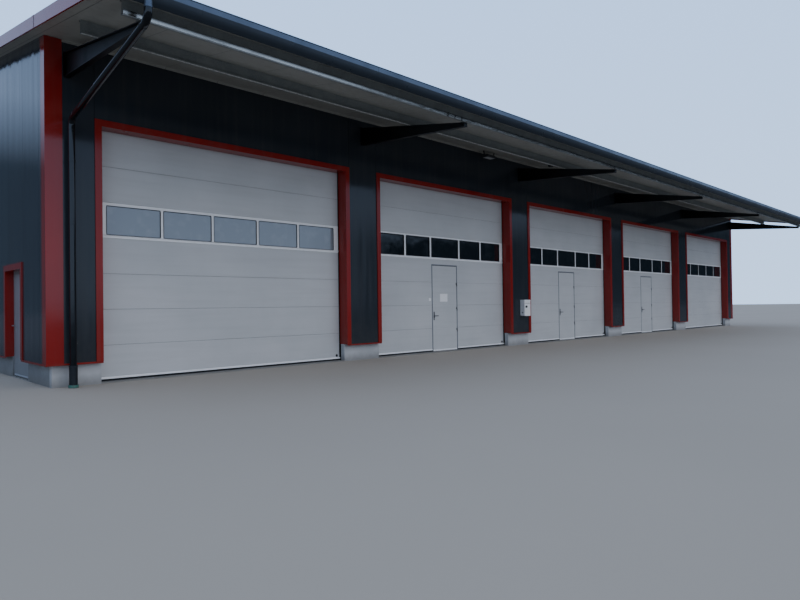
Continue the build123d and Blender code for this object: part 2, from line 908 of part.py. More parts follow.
def gutter(eave_y, way, outlets):
    """Builds a gutter with stop ends and outlets; way is -1 at the front, 1 at the back."""
    top = roof_underside(eave_y) + gutter_rise
    bottom = top - gutter_height
    front_y = eave_y + way * gutter_width
    floor_y = eave_y + way * gutter_floor
    turn = top - gutter_front_face
    with BuildPart() as trough:
        with BuildSketch(side_plane(-roof_half_length - sheet)):
            with BuildLine():
                Polyline(
                    (front_y, turn),
                    (front_y, top),
                    (eave_y, roof_underside(eave_y) + gutter_back_rise),
                    (eave_y, bottom + gutter_front_face),
                    (floor_y, bottom),
                )
                RadiusArc((floor_y, bottom), (front_y, turn), -way * gutter_curve)
            make_face()
        extrude(amount=2 * (roof_half_length + sheet))
        with BuildSketch(Plane.XY.offset(bottom - outlet_length)):
            with Locations(*outlets):
                Circle(pipe_radius)
        extrude(amount=turn - bottom + outlet_length)
        levels = trough.faces().sort_by(Axis.Z)
        offset(amount=-gutter_steel, openings=[*levels[:len(outlets)], levels[-1]])
    return trough


def downpipe(outlet, foot, eave_y, fall):
    """Builds a round pipe from a gutter's outlet to a standpipe, in one upright plane."""
    top = roof_underside(eave_y) + gutter_rise - gutter_height - outlet_length
    elbow = top - elbow_drop
    across = Vector(outlet[0] - foot[0], outlet[1] - foot[1])
    normal = across.cross(Vector(0, 0, 1))
    reach = across.length
    with BuildPart() as pipe:
        with BuildLine(Plane(origin=foot, x_dir=across, z_dir=normal)) as run:
            points = (reach, top), (reach, elbow), (0, elbow - fall), (0, standpipe_height)
            FilletPolyline(*points, radius=pipe_bend)
        with BuildSketch(Plane(origin=run.line @ 0, z_dir=run.line % 0)):
            Circle(pipe_radius)
            Circle(pipe_radius - pipe_wall, mode=Mode.SUBTRACT)
        sweep()
    return pipe


pipe_x = half_frames - pipe_inset
pipe_off_wall = pipe_wall_gap + pipe_radius
front_foot = (-pipe_x, -pipe_off_wall)
front_outlet = (-pipe_x - front_outlet_shift, front_eave_y - gutter_width / 2)
back_feet = [(side * pipe_x, hall_depth + pipe_off_wall) for side in (-1, 1)]
back_outlets = [(x, back_eave_y + gutter_width / 2) for x, y in back_feet]
finish(gutter(front_eave_y, -1, [front_outlet]), "gutter_front")
finish(gutter(back_eave_y, 1, back_outlets), "gutter_back")
finish(downpipe(front_outlet, front_foot, front_eave_y, front_pipe_fall), "downpipe_front")
for outlet, foot, name in zip(back_outlets, back_feet, ("left", "right")):
    finish(downpipe(outlet, foot, back_eave_y, back_pipe_fall), f"downpipe_back_{name}")

# Standpipes with a ring at the ground
pipe_feet = [front_foot, *back_feet]
with BuildPart() as standpipes:
    for radius, height in ((standpipe_radius, standpipe_height), (foot_ring_radius, foot_ring_height)):
        with BuildSketch():
            with Locations(*pipe_feet):
                Circle(radius)
        extrude(amount=height)
finish(standpipes, "standpipes")

# Clips that hold the pipes to the walls
with BuildPart() as pipe_clips:
    for height in clip_heights:
        with BuildSketch(Plane.XY.offset(height)):
            for x, y in pipe_feet:
                way = -1 if y < 0 else 1
                wall_y = y - way * (pipe_wall_gap + pipe_radius)
                with Locations((x, y)):
                    Circle(pipe_radius + running_gap + clip_thickness)
                rectangle(x - clip_stem / 2, x + clip_stem / 2, min(y, wall_y), max(y, wall_y))
                with Locations((x, y)):
                    Circle(pipe_radius + running_gap, mode=Mode.SUBTRACT)
        extrude(amount=clip_height)
finish(pipe_clips, "pipe_clips")

# Letter box on the pier between the second and third doors
with BuildPart() as wall_box:
    with BuildSketch(front_plane(0)):
        with Locations((box_x, box_bottom + box_height / 2)):
            RectangleRounded(box_width, box_height, box_round)
    extrude(amount=box_depth - box_lid)
    with BuildSketch(front_plane(box_lid - box_depth)):
        with Locations((box_x, box_bottom + box_height / 2)):
            RectangleRounded(box_width - box_lid_margin, box_height - box_lid_margin, box_round / 2)
    extrude(amount=box_lid)
    with BuildSketch(front_plane(-box_depth)):
        with Locations((box_x - box_width / 2 + knob_inset, knob_height)):
            Circle(knob_radius)
    extrude(amount=knob_depth)
finish(wall_box, "wall_box")

# Floodlight hung under the soffit from a splayed yoke, and its supply box
with BuildPart() as floodlight:
    soffit = roof_underside(lamp_y)
    lamp_low = soffit - lamp_drop
    head_z = soffit + yoke_depth
    with BuildSketch(Plane.XY.offset(lamp_low)):
        with Locations((lamp_x, lamp_y)):
            Rectangle(lamp_width, lamp_depth)
    extrude(amount=lamp_height)
    with BuildSketch(Plane.XY.offset(lamp_low)):
        with Locations((lamp_x, lamp_y)):
            Rectangle(lamp_width - 2 * lamp_rim, lamp_depth - 2 * lamp_rim)
    extrude(amount=lamp_rim / 2, mode=Mode.SUBTRACT)
    with BuildSketch(front_plane(lamp_y - yoke_depth / 2)):
        for side in (-1, 1):
            foot, head = lamp_x + side * lamp_width / 2, lamp_x + side * yoke_top_width / 2
            out = side * yoke_thickness
            outline((foot, lamp_low), (foot + out, lamp_low), (head + out, head_z), (head, head_z))
    extrude(amount=-yoke_depth)
    with BuildSketch(side_plane(lamp_x - yoke_top_width)):
        above_roof(lamp_y - yoke_depth, lamp_y + yoke_depth)
    extrude(amount=2 * yoke_top_width, mode=Mode.SUBTRACT)
    half = supply_box_size / 2
    with BuildSketch(side_plane(supply_box_x - half)):
        near, far = supply_box_y - half, supply_box_y + half
        low = roof_underside(near) - supply_box_height
        outline((near, low), (far, low), (far, roof_underside(far)), (near, roof_underside(near)))
    extrude(amount=supply_box_size)
finish(floodlight, "floodlight")
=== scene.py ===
import bmesh
import bpy
from math import cos, pi, radians, sin
from mathutils import Matrix, Vector


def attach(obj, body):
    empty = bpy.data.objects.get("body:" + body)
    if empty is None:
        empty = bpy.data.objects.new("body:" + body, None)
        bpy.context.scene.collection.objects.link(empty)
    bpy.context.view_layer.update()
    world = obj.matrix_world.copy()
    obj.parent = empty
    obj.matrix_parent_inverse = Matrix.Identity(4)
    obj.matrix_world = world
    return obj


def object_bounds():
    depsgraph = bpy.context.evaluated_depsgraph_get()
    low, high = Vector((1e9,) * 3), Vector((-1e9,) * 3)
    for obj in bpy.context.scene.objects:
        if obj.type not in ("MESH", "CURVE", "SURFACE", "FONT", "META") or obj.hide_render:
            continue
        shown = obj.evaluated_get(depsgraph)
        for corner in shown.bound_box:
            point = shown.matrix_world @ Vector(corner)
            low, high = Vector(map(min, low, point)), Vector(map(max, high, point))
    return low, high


# An industrial hall of five bays: coated sandwich panels on a steel frame, with
# overhead doors, a long canopy on tapered arms and red folded flashings.
# Metres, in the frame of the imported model.
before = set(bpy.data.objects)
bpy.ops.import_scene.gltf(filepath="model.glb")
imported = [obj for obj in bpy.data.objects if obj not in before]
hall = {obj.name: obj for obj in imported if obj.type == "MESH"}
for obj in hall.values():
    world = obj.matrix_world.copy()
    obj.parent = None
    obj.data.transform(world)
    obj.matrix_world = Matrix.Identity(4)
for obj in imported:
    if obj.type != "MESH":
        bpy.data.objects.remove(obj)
cad_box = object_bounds()
scene = bpy.context.scene


# Floor slab and plinths: ordinary grey concrete. The plinths are precast lengths
# from steel moulds, smooth with fine pores and cloudy cement stains; the floor is
# trowelled. Both are darker where rain splashes up from below.
bay = 6.25


def colour(code):
    """Linear colour of an sRGB hex value."""
    parts = [int(code[i:i + 2], 16) / 255 for i in (1, 3, 5)]
    return (*(p / 12.92 if p < 0.04045 else ((p + 0.055) / 1.055) ** 2.4 for p in parts), 1.0)


def add(tree, kind, sockets=None, out=0, **settings):
    """Adds a node with its settings, values and links, and gives one of its outputs."""
    node = tree.nodes.new(kind if "Node" in kind else "ShaderNode" + kind)
    for name, value in settings.items():
        setattr(node, name, value)
    for name, value in (sockets or {}).items():
        socket = node.inputs[name]
        if isinstance(value, bpy.types.NodeSocket):
            tree.links.new(value, socket)
        else:
            socket.default_value = colour(value) if socket.type == "RGBA" else value
    return node.outputs[out] if len(node.outputs) else node


def begin(name):
    """Starts a material and gives it, its node tree and its Object coordinates."""
    material = bpy.data.materials.new(name)
    material.use_nodes = True
    tree = material.node_tree
    tree.nodes.clear()
    return material, tree, add(tree, "TexCoord", out="Object")


def cloud(tree, place, per_metre, low=0.2, high=0.8, detail=5.0, stretch=None):
    """Patches, so many per metre, eased between two thresholds to a share from 0 to 1."""
    if stretch:
        place = add(tree, "Mapping", {"Vector": place, "Scale": stretch})
    noise = add(tree, "TexNoise", {"Vector": place, "Scale": per_metre, "Detail": detail})
    return add(tree, "MapRange", {"Value": noise, "From Min": low, "From Max": high})


def coat(tree, share, base, cover, strength=None):
    """Lays one colour over another where a share says, and no more than a strength."""
    if strength is not None:
        share = add(tree, "Math", {0: share, 1: strength}, operation="MULTIPLY")
    return add(tree, "Mix", {0: share, 6: base, 7: cover}, 2, data_type="RGBA")


def close(tree, base, rough, height=None, depth=0.001, **sockets):
    """Ends a material. Rough is a value, or a share with the values at 0 and 1 of it;
    height is a bump, and depth its metres."""
    if isinstance(rough, tuple):
        share, smooth, coarse = rough
        rough = add(tree, "MapRange", {"Value": share, "To Min": smooth, "To Max": coarse})
    values = {"Base Color": base, "Roughness": rough, **sockets}
    if height is not None:
        values["Normal"] = add(tree, "Bump", {"Height": height, "Distance": depth})
    add(tree, "OutputMaterial", {"Surface": add(tree, "BsdfPrincipled", values)})


def dress(material, *names):
    """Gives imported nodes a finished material."""
    for name in names:
        for slot in hall[name].material_slots:
            slot.material = material


def concrete(name, pale, dark, splash_height, joint_every=None):
    """Cast concrete with cement clouds, fine pores, a damp foot and sawn joints."""
    material, tree, place = begin(name)
    clouds = cloud(tree, place, 1.6, 0.35, 0.68)
    grain = cloud(tree, place, 160, 0.3, 0.7, 2)
    spot = add(tree, "SeparateXYZ", {"Vector": place}).node.outputs
    ragged = add(tree, "Math", {0: cloud(tree, place, 9), 1: 0.06}, operation="MULTIPLY")
    level = add(tree, "Math", {0: spot["Z"], 1: ragged}, operation="SUBTRACT")
    splash = add(tree, "MapRange", {"Value": level, "From Min": splash_height, "From Max": 0.0})
    body = coat(tree, clouds, pale, dark)
    body = coat(tree, grain, body, "#7B7C7C", 0.22)
    body = coat(tree, splash, body, "#6C6A64", 0.55)
    # pores about 18 mm apart and at most 5 mm wide
    pores = add(tree, "TexVoronoi", {"Vector": place, "Scale": 55})
    pits = add(tree, "MapRange", {"Value": pores, "From Min": 0.03, "From Max": 0.13})
    relief = add(tree, "Math", {0: pits, 1: grain}, operation="ADD")
    if joint_every:
        along = add(tree, "Math", {0: spot["X"], 1: joint_every / 2}, operation="ADD")
        off = add(tree, "Math", {0: along, 1: joint_every / 2}, operation="PINGPONG")
        # saw cuts 6 mm wide
        cut = add(tree, "Math", {0: off, 1: 0.003}, operation="LESS_THAN")
        body = coat(tree, cut, body, "#3A3937")
    close(tree, body, (clouds, 0.82, 0.94), relief, 0.0012, IOR=1.5)
    return material


dress(concrete("cast concrete", "#C3C6C9", "#A9ADB1", 0.16), "front_plinth")
# the plinths of the gables and back are painted darker than the front one
dress(concrete("darker cast concrete", "#8B9195", "#757A7E", 0.2), "gable_plinths", "back_plinth")
dress(concrete("trowelled concrete", "#A9A9A7", "#8F908F", 0.03, bay), "floor_slab")


# Steel frame: rolled I columns and rafters, hollow door posts and wall rails, shop
# painted in a flat grey primer that shows a few scuffs and patches of dust.
material, tree, place = begin("grey shop primer")
dust = cloud(tree, place, 2.2, 0.4, 0.75)
scuffs = cloud(tree, place, 14, 0.66, 0.74, 3, (1, 1, 0.25))
base = coat(tree, scuffs, coat(tree, dust, "#84898B", "#74797B"), "#5E6263")
close(tree, base, (dust, 0.5, 0.68), cloud(tree, place, 420, detail=1), 0.0002, IOR=1.5)
dress(material, "columns", "front_rafters", "back_rafters", "door_posts", "wall_rails")
primer = material

# Foot plates: 15 mm steel under each column, held on the slab by four M20 bolts
# with washers. They have the columns' primer; the front ones are 50 mm longer.
depth = 12.5
frame_lines = [(i - 2.5) * bay for i in range(6)]
column_row = 0.405
plate_foot, plate_top = 0.02, 0.035
half_plate, bolt_reach = 0.13, 0.1


def prism(mesh, axis, start, end, outline, lean=0.0):
    """Adds a bar: an outline across an axis, from start to end; lean is its rise per metre of Y."""
    order = {"X": (2, 0, 1), "Y": (0, 2, 1), "Z": (0, 1, 2)}[axis]
    near, far = [], []
    for ring, level in ((near, start), (far, end)):
        for corner in outline:
            x, y, z = ((*corner, level)[i] for i in order)
            ring.append(mesh.verts.new((x, y, z + lean * y)))
    mesh.faces.new(near)
    mesh.faces.new(reversed(far))
    for i in range(len(near)):
        j = (i + 1) % len(near)
        mesh.faces.new((near[i], near[j], far[j], far[i]))


def oblong(left, right, low, high):
    """The four corners of a rectangle."""
    return [(left, low), (right, low), (right, high), (left, high)]


def plain(name, drawn):
    """Turns a drawn mesh into a stored one, its faces outward."""
    bmesh.ops.recalc_face_normals(drawn, faces=drawn.faces)
    stored = bpy.data.meshes.new(name)
    drawn.to_mesh(stored)
    drawn.free()
    return stored


def set_up(name, mesh, material, body="hall", bevel=0.0):
    """Makes a piece of the scene from a mesh and lets it ride on a body."""
    if isinstance(mesh, bmesh.types.BMesh):
        mesh = plain(name, mesh)
        mesh.materials.append(material)
    piece = bpy.data.objects.new(name, mesh)
    scene.collection.objects.link(piece)
    if bevel:
        rounding = piece.modifiers.new("edge", "BEVEL")
        rounding.width = bevel
        rounding.segments = 2
    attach(piece, body)
    return piece


def new_tree(name, *inputs):
    """Starts a geometry nodes tree with named inputs and gives it and its input sockets."""
    tree = bpy.data.node_groups.new(name, "GeometryNodeTree")
    for label, kind in (("Geometry", "Geometry"), *inputs, ("Material", "Material")):
        tree.interface.new_socket(label, in_out="INPUT", socket_type="NodeSocket" + kind)
    tree.interface.new_socket("Geometry", in_out="OUTPUT", socket_type="NodeSocketGeometry")
    return tree, add(tree, "NodeGroupInput").node.outputs


def close_tree(tree, instances, material):
    """Ends a tree: instances made real, with their material."""
    real = add(tree, "GeometryNodeRealizeInstances", {"Geometry": instances})
    painted = add(tree, "GeometryNodeSetMaterial", {"Geometry": real, "Material": material})
    add(tree, "NodeGroupOutput", {"Geometry": painted})


def grown(tree, start, **inputs):
    """Runs a tree on a mesh and gives the plain mesh it makes."""
    seed = bpy.data.objects.new("seed", start)
    scene.collection.objects.link(seed)
    modifier = seed.modifiers.new("nodes", "NODES")
    modifier.node_group = tree
    for socket in tree.interface.items_tree:
        label = socket.name.replace(" ", "_").lower()
        if socket.in_out == "INPUT" and label in inputs:
            modifier[socket.identifier] = inputs[label]
    finished = seed.evaluated_get(bpy.context.evaluated_depsgraph_get())
    made = bpy.data.meshes.new_from_object(finished)
    bpy.data.objects.remove(seed)
    return made


# The tree for bolts, screws and rivets: a head on a round washer at each point of
# a mesh, turned to the way that the point's "out" attribute gives.
fasteners, given = new_tree(
    "fasteners", ("Sides", "Int"), ("Head radius", "Float"), ("Head height", "Float"),
    ("Washer radius", "Float"), ("Washer height", "Float"),
)
head = {"Vertices": given["Sides"], "Radius": given["Head radius"], "Depth": given["Head height"]}
head = add(fasteners, "GeometryNodeMeshCylinder", head, fill_type="NGON")
washer = {"Vertices": 12, "Radius": given["Washer radius"], "Depth": given["Washer height"]}
washer = add(fasteners, "GeometryNodeMeshCylinder", washer, fill_type="NGON")
rise = {0: given["Head height"], 1: 0.5, 2: given["Washer height"]}
rise = add(fasteners, "Math", rise, operation="MULTIPLY_ADD")
up = add(fasteners, "CombineXYZ", {"Z": rise})
raised = add(fasteners, "GeometryNodeTransform", {"Geometry": head, "Translation": up})
pair = add(fasteners, "GeometryNodeJoinGeometry", {"Geometry": raised})
fasteners.links.new(washer, pair.node.inputs[0])
out = add(fasteners, "GeometryNodeInputNamedAttribute", {"Name": "out"}, data_type="FLOAT_VECTOR")
turn = add(fasteners, "FunctionNodeAlignRotationToVector", {"Vector": out}, axis="Z")
spread = {"Points": given["Geometry"], "Instance": pair, "Rotation": turn}
spread = add(fasteners, "GeometryNodeInstanceOnPoints", spread)
close_tree(fasteners, spread, given["Material"])


def fasten(name, spots, material, slot, head, washer, sides=6, body="hall"):
    """Sets heads on washers at spots: each a place and the way out; sizes are radius and height."""
    mesh = bpy.data.meshes.new(name)
    mesh.from_pydata([place for place, way in spots], [], [])
    ways = mesh.attributes.new("out", "FLOAT_VECTOR", "POINT")
    for i, (place, way) in enumerate(spots):
        ways.data[i].vector = way
    made = grown(
        fasteners, mesh, sides=sides, material=material, head_radius=head[0],
        head_height=head[1], washer_radius=washer[0], washer_height=washer[1],
    )
    set_up(name, made, material, body)


mesh = bmesh.new()
bolts = []
for x in frame_lines:
    for y, heel in ((column_row, 0.19), (depth - column_row, 0.14)):
        plate = oblong(x - half_plate, x + half_plate, y - 0.14, y + heel)
        prism(mesh, "Z", plate_foot, plate_top, plate)
        for dx in (-bolt_reach, bolt_reach):
            bolts += [((x + dx, y + dy, plate_top), (0, 0, 1)) for dy in (-bolt_reach, bolt_reach)]
set_up("foot_plates", mesh, primer, bevel=0.002)
fasten("foot_bolts", bolts, primer, "hall_steel", (0.0173, 0.016), (0.022, 0.004))


# Canopy arms: tapered welded I sections in the same anthracite as the cladding,
# a satin two-coat paint with a faint orange peel and patches of rain dust.
material, tree, place = begin("anthracite structural paint")
dust = cloud(tree, place, 3, 0.45, 0.8)
# painted shade: the roots by the wall are painted darker and the outer ends paler, for the canopy's
# shade at the roots
reach = add(tree, "SeparateXYZ", {"Vector": place}, "Y")
outer = add(tree, "MapRange", {"Value": reach, "From Min": -0.9, "From Max": -2.2})
base = coat(tree, outer, "#0C0D0F", coat(tree, dust, "#23272B", "#2E3235"))
close(tree, base, (dust, 0.48, 0.6), cloud(tree, place, 260, detail=1), 0.0003, IOR=1.38)
dress(material, "canopy_arms")
arm_paint = material


# Purlins: cold rolled galvanised Z sections, dull grey with the large soft spangle
# of hot-dip zinc, 14 mm wide, and milky patches where dew has stood.
material, tree, place = begin("galvanised sheet")
spangle = add(tree, "TexVoronoi", {"Vector": place, "Scale": 70}, "Color")
facet = add(tree, "SeparateColor", {"Color": spangle})
milky = cloud(tree, place, 4, 0.45, 0.7)
base = coat(tree, milky, coat(tree, facet, "#7F8484", "#8B9090"), "#A3A7A5", 0.4)
close(tree, base, (facet, 0.3, 0.42), facet, 0.0001, Metallic=0.25)
dress(material, "purlins")
galvanised = material

# Purlin cleats: galvanised angles that hold the canopy purlins on each arm, with
# M12 bolts through the webs, there and at the splices on both sides of the arm.
slope = 0.18083
eaves = 5.56
purlin_depth = 0.2033
canopy_rows = (-3.07, -1.535)
purlin_end = 15.7
half_cleat, cleat_gap, cleat_thickness = 0.06, 0.003, 0.008


def underside(y):
    """Height of the roof panels' lower face."""
    return eaves + slope * min(y, depth - y)


mesh = bmesh.new()
bolts = []
for x in frame_lines:
    for y in canopy_rows:
        low = underside(y) - purlin_depth
        heel, web = y + cleat_gap, y + cleat_gap + cleat_thickness
        toe, rise = y + 0.07, low + 0.011
        upright = oblong(heel, web, low, low + 0.15)
        seat = [(web, low), (toe, rise), (toe, rise + cleat_thickness), (web, low + cleat_thickness)]
        for outline in (upright, seat):
            prism(mesh, "X", x - half_cleat, x + half_cleat, outline)
        for dx in (-0.035, 0.035):
            bolts += [((x + dx, y, low + up_web), (0, -1, 0)) for up_web in (0.06, 0.12)]
        for dx in (-0.4, -0.2, 0.2, 0.4):
            if abs(x + dx) < purlin_end:
                bolts += [((x + dx, y, low + up_web), (0, -1, 0)) for up_web in (0.06, 0.14)]
set_up("purlin_cleats", mesh, galvanised)
fasten("purlin_bolts", bolts, galvanised, "galvanised_steel", (0.011, 0.009), (0.014, 0.003))

# Edge strip: a bright galvanised fold, 54 mm high, clipped along the lip of the
# eaves purlin, square to the roof. Its spangle is drawn out along the strip, and
# coarser than real, or it wouldn't show from the front.
material, tree, place = begin("bright hot-dip galvanised strip")
drawn = add(tree, "Mapping", {"Vector": place, "Scale": (0.4, 3, 3)})
spangle = add(tree, "TexVoronoi", {"Vector": drawn, "Scale": 16}, "Color")
facet = add(tree, "SeparateColor", {"Color": spangle})
dents = cloud(tree, place, 9, detail=3)
dull = cloud(tree, place, 1.6, 0.42, 0.68, 3, (1, 0.1, 0.1))
relief = add(tree, "Math", {0: facet, 1: 0.25, 2: dents}, operation="MULTIPLY_ADD")
# painted shade: the upper third lies in the gutter's shade and is painted dark
lip_y = -3.139
lip = underside(lip_y) - purlin_depth - 0.004
height = add(tree, "SeparateXYZ", {"Vector": place}, "Z")
gutter_shade = add(tree, "MapRange", {"Value": height, "From Min": lip + 0.04, "From Max": lip + 0.062})
base = coat(tree, dull, coat(tree, facet, "#B9B6AF", "#DEDAD2"), "#93908A")
base = coat(tree, gutter_shade, base, "#55534F")
close(tree, base, (facet, 0.14, 0.28), relief, 0.0009, Metallic=0.9)
half_strip = 15.885
strip = [
    (lip_y + 0.0028, lip + 0.014), (lip_y + 0.0008, lip + 0.014), (lip_y - 0.002, lip + 0.018),
    (lip_y - 0.012, lip + 0.068), (lip_y - 0.01, lip + 0.0684), (lip_y, lip + 0.0185),
    (lip_y + 0.0028, lip + 0.0165),
]
mesh = bmesh.new()
prism(mesh, "X", -half_strip, half_strip, strip)
set_up("eaves_strip", mesh, material)

# Lip edge of the second purlin: a painted highlight, a matt near-white strip along the lip for the light
# that its edge catches, drawn coarse in patches of 40 mm.
material, tree, place = begin("white rust on a cut zinc edge")
highlight_patches = cloud(tree, place, 26, 0.3, 0.7)
close(tree, coat(tree, highlight_patches, "#E2E3E0", "#A9ABA8"), 0.8, highlight_patches, 0.0004, IOR=1.5)
inner_y = -1.6
inner_lip = underside(inner_y - 0.001) - purlin_depth
edge = oblong(inner_y - 0.004, inner_y + 0.004, inner_lip - 0.004, inner_lip + 0.01)
mesh = bmesh.new()
prism(mesh, "X", -half_strip, half_strip, edge)
set_up("inner_lip_edge", mesh, material)

# Strip clips: folded steel hooks, 24 mm wide, pressed over the edge strip, three to
# the left of each arm but the first, in the arms' dark paint.
half_clip = 0.012
clip = [
    (lip_y + 0.0005, lip), (lip_y - 0.0045, lip), (lip_y - 0.019, lip + 0.072),
    (lip_y - 0.007, lip + 0.073), (lip_y - 0.0115, lip + 0.069),
]
mesh = bmesh.new()
for x in frame_lines[1:]:
    for dx in (-0.585, -0.385, -0.18):
        prism(mesh, "X", x + dx - half_clip, x + dx + half_clip, clip)
set_up("strip_clips", mesh, arm_paint)


# Wall cladding: flat sandwich panels, coil coated steel in anthracite. Smooth and
# glossy enough to mirror the sky, slightly wavy over the foam, dusty at the foot.
rib_pitch = 0.333
first_lap = -16.0


def coil_coated(
    name, light, dark, gloss, dull, wave_height, dust_top=0.0, dust_colour="#6A6963",
    joints=False, run=(1, 1, 1), index=1.5,
):
    """Factory painted sheet: soft waves over the core, fine grain, rain streaks, foot dust."""
    material, tree, place = begin(name)
    drift = cloud(tree, place, 0.7, 0.35, 0.7, 3)
    streaks = cloud(tree, place, 1, 0.5, 0.8, 4, (9, 9, 0.35))
    base = coat(tree, drift, light, dark)
    base = coat(tree, streaks, base, dust_colour, 0.16)
    spot = add(tree, "SeparateXYZ", {"Vector": place}).node.outputs
    if dust_top:
        foot = {"Value": spot["Z"], "From Min": dust_top, "From Max": 0.3, "To Max": 0.3}
        foot = add(tree, "MapRange", foot)
        base = coat(tree, foot, base, dust_colour, cloud(tree, place, 6, 0.25, 0.7))
    waved = add(tree, "Mapping", {"Vector": place, "Scale": run})
    waves = add(tree, "TexNoise", {"Vector": waved, "Scale": 2.4, "Detail": 1})
    if joints:
        # panels are three ribs wide and lap on a rib, with a dark line of about 7 mm
        half_panel = 1.5 * rib_pitch
        along = add(tree, "Math", {0: spot["X"], 1: first_lap}, operation="SUBTRACT")
        off = add(tree, "Math", {0: along, 1: half_panel}, operation="PINGPONG")
        lap = add(tree, "MapRange", {"Value": off, "From Min": 0.002, "From Max": 0.005})
        base = coat(tree, lap, "#3B3E40", base)
        waves = add(tree, "Math", {0: waves, 1: lap}, operation="MULTIPLY")
    # the paint's own grain is 1.4 mm
    grain = add(tree, "TexNoise", {"Vector": place, "Scale": 700, "Detail": 1})
    fine = add(tree, "Math", {0: grain, 1: 0.012, 2: waves}, operation="MULTIPLY_ADD")
    close(tree, base, (streaks, gloss, dull), fine, wave_height, IOR=index)
    return material


cladding = coil_coated(
    "anthracite coil coated panel", "#2A2F35", "#2F343A", 0.1, 0.2, 0.005, 1.1, "#4D4D48",
    run=(1.6, 1.6, 0.12), index=1.43,
)
dress(
    cladding, "front_piers", "lintel_panels", "left_gable_front", "left_gable_over_door",
    "left_gable_back", "right_gable_wall", "back_wall",
)


# Roof: trapezoidal sandwich panels, light grey coil coating on both faces; the
# lower face is the canopy's soffit. Satin, and faintly dusty in patches.
roofing = coil_coated(
    "light grey roof panel", "#A5A59E", "#9B9B95", 0.34, 0.5, 0.002, 0.0, "#84827A", joints=True,
)
dress(roofing, "roof_front", "roof_back", "soffit_closure")

# Roof screws: self-drilling, zinc plated, with sealing washers, driven through the
# crest of every second rib into each purlin.
rib_crest = 0.1443
screwed_ribs = [(i - 48) * rib_pitch for i in range(0, 97, 2)]
hall_rows = [0.365 + i * 1.4225 for i in range(4)]
front_out = Vector((0, -slope, 1)).normalized()
back_out = Vector((0, slope, 1)).normalized()
screws = []
for x in screwed_ribs:
    screws += [((x, y, underside(y) + rib_crest), front_out) for y in (-3.035, -1.5, *hall_rows)]
    screws += [((x, depth - y, underside(y) + rib_crest), back_out) for y in hall_rows]
fasten("roof_screws", screws, galvanised, "galvanised_steel", (0.0065, 0.007), (0.011, 0.003))

# Ridge foam: closed-cell strips, soft, matt and dark grey, with cells of 2.5 mm,
# cut to fill the valleys between the ribs under both edges of the ridge cap.
material, tree, place = begin("grey closed-cell foam")
cells = add(tree, "TexVoronoi", {"Vector": place, "Scale": 400})
close(tree, coat(tree, cells, "#2C2E2F", "#3D3F40"), 0.9, cells, 0.0006, IOR=1.45)
ridge = depth / 2
valley_foot = underside(6.0) + 0.1016
valley_top = valley_foot + 0.0427
valley = [(-0.1315, valley_foot), (0.1315, valley_foot), (0.149, valley_top), (-0.149, valley_top)]
first_valley = [(a - 47.5 * rib_pitch, b) for a, b in valley]

# The tree for rows: the piece that it is given, repeated at equal steps.
rows, given = new_tree("rows", ("Count", "Int"), ("Step", "Vector"))
line = {"Count": given["Count"], "Offset": given["Step"]}
line = add(rows, "GeometryNodeMeshLine", line, mode="OFFSET")
spread = add(rows, "GeometryNodeInstanceOnPoints", {"Points": line, "Instance": given["Geometry"]})
close_tree(rows, spread, given["Material"])


def row(name, mesh, material, count, step):
    """Repeats a piece in a row; its mesh lies at the first place."""
    made = grown(rows, plain(name, mesh), count=count, step=step, material=material)
    set_up(name, made, material)


for name, near, far in (("front_ridge_foam", -0.257, -0.23), ("back_ridge_foam", 0.23, 0.257)):
    mesh = bmesh.new()
    prism(mesh, "Y", ridge + near, ridge + far, first_valley)
    row(name, mesh, material, 96, (rib_pitch, 0, 0))


# Red flashings: folded coil coated steel at the corners, verges, door openings and
# foot of the cladding. Satin, a little chalked and streaked by rain; the parts at
# the corners and roof edges are glossier.
red, deep_red, red_dust = "#8E1F1A", "#841B17", "#6E4A40"
flashing = coil_coated(
    "signal red folded sheet", red, deep_red, 0.14, 0.28, 0.001, 0.9, red_dust, index=1.42,
)
dress(flashing, "door_trims", "side_door_trim", "drip_flashings")
roof_red = coil_coated(
    "signal red glossy edge trim", red, deep_red, 0.1, 0.2, 0.001, 0.0, red_dust, index=1.56,
)
dress(roof_red, "corner_flashings", "verge_flashings", "ridge_cap")

# Flashing rivets: painted blind rivets, 7 mm across the head, along the door trims,
# the corners and both edges of the ridge cap.
blind_rivet = ((0.0036, 0.0014), (0.006, 0.0007), 8)
door_centres = [(i - 2) * bay for i in range(5)]
trim_line, trim_face, trim_head, trim_pitch = 2.655, -0.02, 4.335, 0.45
corner_front, corner_side, corner_turn, corner_pitch = 15.713, 15.948, 0.19, 0.48
cap_crest, cap_edge = 0.1473, 0.21
rivets = []
for centre in door_centres:
    for side in (-1, 1):
        x = centre + side * trim_line
        rivets += [((x, trim_face, 0.62 + i * trim_pitch), (0, -1, 0)) for i in range(8)]
    start = centre - 5.5 * trim_pitch
    rivets += [((start + i * trim_pitch, trim_face, trim_head), (0, -1, 0)) for i in range(12)]
for side in (-1, 1):
    for i in range(11):
        z = 0.5 + i * corner_pitch
        rivets.append(((side * corner_front, -0.003, z), (0, -1, 0)))
        rivets.append(((side * corner_side, corner_turn, z), (side, 0, 0)))
        rivets.append(((side * corner_front, depth + 0.003, z), (0, 1, 0)))
        rivets.append(((side * corner_side, depth - corner_turn, z), (side, 0, 0)))
for x in screwed_ribs:
    z = underside(ridge - cap_edge) + cap_crest
    rivets += [((x, ridge - cap_edge, z), front_out), ((x, ridge + cap_edge, z), back_out)]
fasten("flashing_rivets", rivets, flashing, "red_flashing", *blind_rivet)


